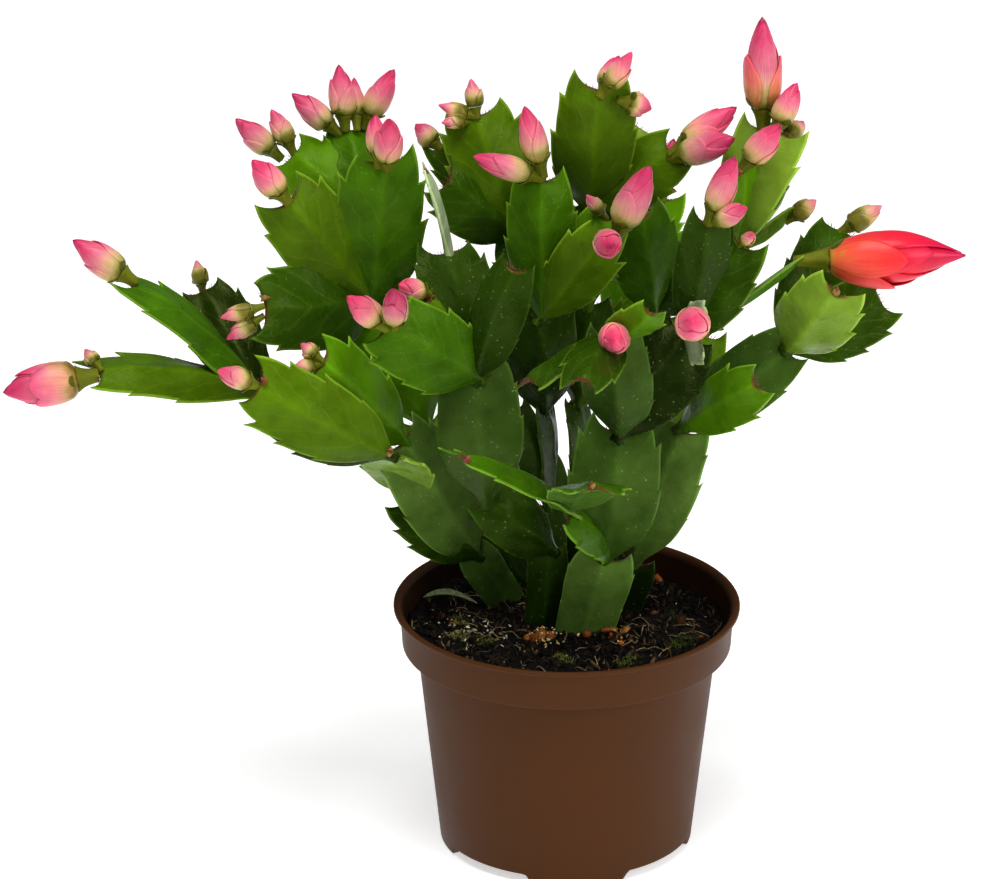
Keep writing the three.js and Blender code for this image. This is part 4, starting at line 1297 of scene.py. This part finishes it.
bump = add(tree, "Bump", {"Strength": 0.12, "Distance": 0.5 * MM}, {"Height": ripple})
feed(shader, {"Base Color": stained_and_shaded, "Roughness": sheen, "Normal": bump})
pot = add_piece("moulded_pot", [pot_part], plastic, "pot", "pot")

# %% [markdown]
# Water leaves through four holes in the raised floor. A hole through a turned wall is the one shape here that
# a formula makes badly, so it is cut: a Boolean modifier takes four short rods away from the pot, and the
# rods are removed once it is applied.

# %% Drain holes
DRAINS, DRAIN_RADIUS, DRAIN_CIRCLE = 4, 4.0, 30.0
ROD_LOW, ROD_HIGH = 2.5, 7.0
spots = np.radians(FIRST_FOOT - 90 + 360 / DRAINS * np.arange(DRAINS))
rods = []
for x, y in zip(DRAIN_CIRCLE * np.cos(spots), DRAIN_CIRCLE * np.sin(spots)):
    rods.append(turned_part((x, y, ROD_LOW), (x, y, ROD_HIGH), np.array([0.0, 1.0]),
                            [DRAIN_RADIUS, DRAIN_RADIUS], 32, (0, 0), (1, 1, 1, 1)))
cutter = add_object("drain_rods", joined_mesh("drain_rods", rods))
cut = pot.modifiers.new("drains", "BOOLEAN")
cut.object = cutter
cut.operation = "DIFFERENCE"
cut.solver = "EXACT"
bpy.context.view_layer.update()
drained = bpy.data.meshes.new_from_object(pot.evaluated_get(bpy.context.evaluated_depsgraph_get()))
pot.modifiers.clear()
pot.data = drained
bpy.data.objects.remove(cutter)
print("pot faces:", len(pot.data.polygons))

# %% [markdown]
# ## The soil
# Potting soil is black peat with bark, roots and a few white grains. From a step away it reads as crumbs, so
# the ground is a grid whose height is a sum of many small waves in random directions, from three centimetres
# down to a crumb, and on it lie thousands of loose lumps.

# %% Ground
SOIL_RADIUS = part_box("soil")[1].x / MM
SOIL_RINGS, SOIL_SIDES = 64, 200
WAVES = 70
wave_rng = np.random.default_rng(5)
wave_length = np.geomspace(30, 1.6, WAVES)
wave_way = wave_rng.uniform(0, 2 * np.pi, WAVES)
wave_start = wave_rng.uniform(0, 2 * np.pi, WAVES)


def ground(x, y):
    """The soil's height: its level, and waves whose height falls with their length."""
    phase = (np.multiply.outer(x, np.cos(wave_way)) + np.multiply.outer(y, np.sin(wave_way))) / wave_length
    return SOIL_LEVEL + (np.sin(2 * np.pi * phase + wave_start) * 0.045 * wave_length**0.55).sum(-1)


soil_ring = SOIL_RADIUS * np.linspace(1, 0.01, SOIL_RINGS)[:, None]
top_rings = ring_points(soil_ring, circle(SOIL_SIDES), 0.0)
top_rings[..., 2] = ground(top_rings[..., 0], top_rings[..., 1])
ledge = shoulder + 1.6  # just above the step of the wall inside the collar
skirt = np.array([(FOOT_RADIUS - 2.5, FLOOR_TOP + 0.4), (BODY_TOP - 2, ledge), (SOIL_RADIUS, ledge)])
low_rings = ring_points(skirt[:, :1], circle(SOIL_SIDES), skirt[:, 1:])
poles = [(0, 0, skirt[0, 1]), (0, 0, float(ground(0.0, 0.0)))]
ground_part = tube_part(np.concatenate([low_rings, top_rings]), poles, (0, 0, 0), linear("#0d0a08"))

# %% [markdown]
# The lumps start from a twenty-sided ball, pushed out of shape at every corner, because a broken crumb has
# flat faces and sharp edges. One function strews any number of them with a size range, a squash and a list of
# colours, so peat, bark and white grains are all made by it.

# %% Loose lumps
LOOSE_RADIUS = SOIL_RADIUS - 1.5  # nothing loose lies beyond it
soil_rng = np.random.default_rng(21)
GOLDEN = (1 + 5**0.5) / 2
BALL = unit([(a, b, 0) for a in (-1, 1) for b in (-GOLDEN, GOLDEN)]
            + [(0, a, b) for a in (-1, 1) for b in (-GOLDEN, GOLDEN)]
            + [(b, 0, a) for a in (-1, 1) for b in (-GOLDEN, GOLDEN)])


def ball_faces():
    """The twenty triangles of the ball: every three corners that are neighbours, wound to face outwards."""
    near = np.linalg.norm(BALL[:, None] - BALL[None], axis=-1) < 1.2
    i, j, k = (a.ravel() for a in np.meshgrid(*[np.arange(12)] * 3, indexing="ij"))
    keep = (i < j) & (j < k) & near[i, j] & near[j, k] & near[i, k]
    faces = np.stack([i, j, k], -1)[keep]
    a, b, c = (BALL[faces[:, n]] for n in range(3))
    inward = (np.cross(b - a, c - a) * a).sum(-1) < 0
    faces[inward] = faces[inward][:, ::-1]
    return faces


BALL_FACES = ball_faces()


def lumps_part(at, size, squash, colours, rough=0.28):
    """Lumps at given places: a ball for each, stretched and dented at random, tinted from a list."""
    count = len(at)
    turn = unit(soil_rng.normal(size=(count, 3)))
    side = unit(np.cross(turn, unit(soil_rng.normal(size=(count, 3)))))
    axes = np.stack([turn, side, np.cross(turn, side)], 1)
    stretch = soil_rng.uniform(0.6, 1.3, (count, 1, 3)) * squash
    dent = soil_rng.uniform(1 - rough, 1 + rough, (count, 12, 1))
    corners = (BALL[None] * stretch * dent) @ axes * np.asarray(size)[:, None, None]
    tint = np.array([linear(c) for c in colours])[soil_rng.integers(0, len(colours), count)]
    tint[:, :3] *= soil_rng.uniform(0.7, 1.3, (count, 1))
    faces = copied_faces(BALL_FACES, count, 12)
    return part(at[:, None] + corners, [faces], (0, 0, 0), np.repeat(tint, 12, axis=0))


def scatter(count, centre=(0, 0), reach=None, lift=0.0):
    """Places on the soil: evenly over the pot, or thickest near a centre."""
    far = LOOSE_RADIUS * np.sqrt(soil_rng.uniform(0, 1, count))
    round_by = soil_rng.uniform(0, 2 * np.pi, count)
    x, y = far * np.cos(round_by), far * np.sin(round_by)
    if reach:
        x, y = np.asarray(centre)[:, None] + soil_rng.normal(0, reach, (2, count))
    return np.stack([x, y, ground(x, y) + lift], -1)


def strewn(count, sizes, squash, colours, centre=(0, 0), reach=None, lift=0.0):
    """That many lumps with sizes from a range, scattered on the soil."""
    at = scatter(count, centre, reach, lift)
    return lumps_part(at, soil_rng.uniform(*sizes, count), squash, colours)


# %% [markdown]
# The soil's finish is rough and almost black, with the colour of each lump in its attribute. A fine bump
# breaks the flat faces of the crumbs. Wet peat has a few tiny glints, so its roughness isn't even.

# %% Soil finish
PEAT_GRAIN = 0.8

peat, tree, shader = new_material("damp_black_peat", Roughness=0.85, IOR=1.4, Specular_IOR_Level=0.15)
mottled, noise = mottled_tint(tree, PEAT_GRAIN, 4.0, {1: 0.3, 2: 0.75, 3: 0.45, 4: 1.7})
damp = add(tree, "MapRange", {1: 0.35, 2: 0.6, 3: 0.55, 4: 0.95}, {0: noise})
bump = add(tree, "Bump", {"Strength": 0.8, "Distance": 0.5 * MM}, {"Height": noise})
feed(shader, {"Base Color": mottled, "Roughness": damp, "Normal": bump})
add_piece("peat_ground", [ground_part], peat, "soil", "soil")

# %% [markdown]
# Now the lumps are strewn: crumbs and flakes everywhere, the larger bark where the photo shows it, and pale
# chips at the feet of the front stems.

# %% Crumbs, bark and grains
BARK_SPOTS = ((-14, -12, 2.6), (-11.5, -12.4, 3.1), (-8.8, -12, 3.2), (-6, -11.6, 2.7), (14, -8, 2.0),
              (7, -9, 1.7), (20, -7, 1.9), (39.4, 2.8, 2.6), (-43, 8, 1.5), (33, 40, 1.4), (46, -13, 1.4))
WHITE = ("#d9cfb6", "#b9a97f", "#e6e0cf", "#8f815a")

crumbs = strewn(2600, (0.35, 1.5), 1, ("#0a0807", "#0f0c09", "#070605", "#15100c", "#221910"))
add_piece("peat_crumbs", [crumbs], peat, "soil")

bark_at = np.array([(x, y, float(ground(x, y)) + 1.2) for x, y, _ in BARK_SPOTS])
big_bark = lumps_part(bark_at, [size for *_, size in BARK_SPOTS], (1.2, 1, 0.8),
                      ("#8a4a1e", "#6b3816", "#a56a30", "#40260f"), rough=0.42)
small_bark = strewn(110, (0.4, 1.2), (1.6, 0.9, 0.5), ("#6e4220", "#4a3320", "#35241a"))
flakes = strewn(700, (0.5, 1.7), (1.9, 0.4, 0.25), ("#1a130e", "#2b1f16", "#3b2c1f", "#5f4c36", "#12100c"),
                lift=0.5)
near_foot = strewn(44, (0.25, 0.7), (1.2, 1, 0.6), ("#c9a35e", "#dcc48a", "#e8d9a8", "#a5642c"),
                   (-8, -12.5), 3.4, 2.6)
beside_foot = strewn(30, (0.3, 0.8), (1.2, 1, 0.6), ("#c9a35e", "#dcc48a", "#b5651f", "#8a4318"),
                     (17, -8.5), 2.6, 1.2)
add_piece("bark_chips", [big_bark, small_bark, near_foot, beside_foot, flakes], peat, "soil")

flecks = strewn(70, (0.15, 0.45), (2.0, 0.6, 0.4), WHITE, lift=0.6)
left_flecks = strewn(90, (0.2, 0.6), (1.8, 0.7, 0.5), (*WHITE, "#8a8440"), (-33, -7), 6, 0.8)
add_piece("white_grains", [flecks, left_flecks], peat, "soil")

# %% [markdown]
# Moss grows in small tufts. Its blades are the same three-sided points as the bristles, and each tuft has a
# green of its own.

# %% Moss
MOSS_SPOTS = ((-28, -14), (-37, -9), (43, -14), (37, -17), (40, -12), (-36, 2), (20, -30), (-2, -28),
              (38, 12))
MOSS_BLADES = 130
MOSS_LENGTH = (0.8, 2.0)
MOSS_COLOURS = ("#4a561c", "#6b7430", "#39461a", "#8a8a44")

moss = []
for spot in MOSS_SPOTS:
    at = scatter(MOSS_BLADES, spot, 1.8, 0.2)
    way = unit(soil_rng.normal(0, 0.7, (MOSS_BLADES, 3)) + UP)
    hue = linear(MOSS_COLOURS[soil_rng.integers(4)])
    tips = at + way * soil_rng.uniform(*MOSS_LENGTH, (MOSS_BLADES, 1))
    moss.append(spike_part(at, tips, BRISTLE_RADIUS, hue))
add_piece("moss_tufts", moss, peat, "soil")

# %% [markdown]
# Dead roots and plant fibres lie over the crumbs. Each is a thin tube along a bent path: an arc of up to
# about a half circle, pushed up in its middle so that it bridges the crumbs as a stiff root does. A dried
# leaf lies among them at the left.

# %% Fibres and a dried leaf
FIBRES = 170
FIBRE_STEPS, FIBRE_SIDES = 9, 5
FIBRE_COLOURS = ("#a08c66", "#6a5638", "#4b3a25", "#857350")
LEAF_GRID = (18, 9)
LEAF_THICK = 0.3


def fibre_part(x0, y0):
    """A bent tube: its path is an arc on the ground, and its rings stand across the path."""
    bend = soil_rng.uniform(-1.6, 1.6)
    heading = soil_rng.uniform(0, 2 * np.pi) + np.linspace(-bend, bend, FIBRE_STEPS)
    step = soil_rng.uniform(0.4, 1.5)
    x = x0 + np.cumsum(np.cos(heading)) * step
    y = y0 + np.cumsum(np.sin(heading)) * step
    inside = LOOSE_RADIUS / np.maximum(np.hypot(x, y), LOOSE_RADIUS)
    x, y = x * inside, y * inside
    lift = 0.6 + soil_rng.uniform(0, 1.6) * np.sin(np.linspace(0, np.pi, FIBRE_STEPS))
    path = np.stack([x, y, ground(x, y) + lift], -1)
    ahead = unit(np.gradient(path, axis=0) + 1e-6)
    side = unit(np.cross(ahead, UP))
    angle = circle(FIBRE_SIDES)[None, :, None]
    thick = soil_rng.uniform(0.1, 0.26) * (1 - 0.6 * np.linspace(0, 1, FIBRE_STEPS))[:, None, None]
    spoke = np.cos(angle) * np.cross(side, ahead)[:, None] + np.sin(angle) * side[:, None]
    tint = linear(FIBRE_COLOURS[soil_rng.integers(4)])
    return tube_part(path[:, None] + thick * spoke, path[[0, -1]], (0, 0, 0), tint)


def leaf_part():
    """A dried leaf: a slab on a grid, pointed at both ends, folded along its rib and curled."""
    u, v = np.linspace(0, 1, LEAF_GRID[0])[:, None], np.linspace(-1, 1, LEAF_GRID[1])[None, :]
    wide = 2.2 * np.sin(np.pi * u**0.8) ** 0.8 + 0.1
    x = -50.0 + 19 * u + 0 * v
    y = 21.0 - 5 * u + v * wide
    z = SOIL_LEVEL + 2.2 + 2.0 * np.sin(np.pi * u) + np.abs(v) * wide * 0.6
    top = np.stack([x, y, z], -1)
    return slab_part(top, top - (0, 0, LEAF_THICK), (0, 0, 0), linear("#7c8560"))


add_piece("root_fibres", [fibre_part(x, y) for x, y, _ in scatter(FIBRES)], peat, "soil")
add_piece("dried_leaf", [leaf_part()], peat, "soil")

# %% [markdown]
# ## Stage and light
# The plant stands on a pale floor that glows a little, so that it comes out nearly white. A dim white sky
# fills the shadows. A big lamp from above gives the segments their shape, one at the right brings out their
# wax, and a weak one at the front left opens the shadows there. A fourth, behind at the right, draws a thin
# bright line along the margins.

# %% Floor and sky
FLOOR_HALF = 6.0

floor_mesh = bpy.data.meshes.new("floor")
corners = [(x * FLOOR_HALF, y * FLOOR_HALF, 0) for x, y in ((-1, -1), (1, -1), (1, 1), (-1, 1))]
floor_mesh.from_pydata(corners, [], [(0, 1, 2, 3)])
floor_finish, tree, shader = new_material("pale_floor", Roughness=0.6, Base_Color=linear("#f4f4f4"),
                                          Emission_Color=(1, 1, 1, 1), Emission_Strength=0.55)
floor_mesh.materials.append(floor_finish)
add_object("floor", floor_mesh)

world = bpy.data.worlds.new("studio")
world.use_nodes = True
sky = world.node_tree.nodes["Background"].inputs
sky["Color"].default_value = (1, 1, 1, 1)
sky["Strength"].default_value = 0.12
bpy.context.scene.world = world
bpy.context.scene.view_settings.view_transform = "Standard"

# %% [markdown]
# Each lamp has its place in metres, its watts and its size, and is turned to look at the middle of the plant.

# %% Lamps
LAMPS = {
    "key": ((1.2, -1.0, 1.0), 12.0, 0.7),
    "front": ((-0.6, -1.5, 1.2), 4.0, 0.7),
    "top": ((-0.1, -0.35, 1.6), 20.0, 0.9),
    "rim": ((1.3, 0.8, 0.6), 3.0, 0.8),
}
AIM = (0, 0, 0.15)

for name, (place, watts, size) in LAMPS.items():
    lamp = bpy.data.lights.new(name, "AREA")
    lamp.energy = watts
    lamp.size = size
    holder = add_object(name, lamp)
    holder.location = place
    aim = unit(np.array(AIM) - np.array(place))
    holder.rotation_euler = (np.arccos(-aim[2]), 0.0, np.arctan2(aim[1], aim[0]) - np.pi / 2)
print("lamps:", len(LAMPS))

# %% [markdown]
# The scene is brought up to date before it is finished.

# %% The end
bpy.context.view_layer.update()
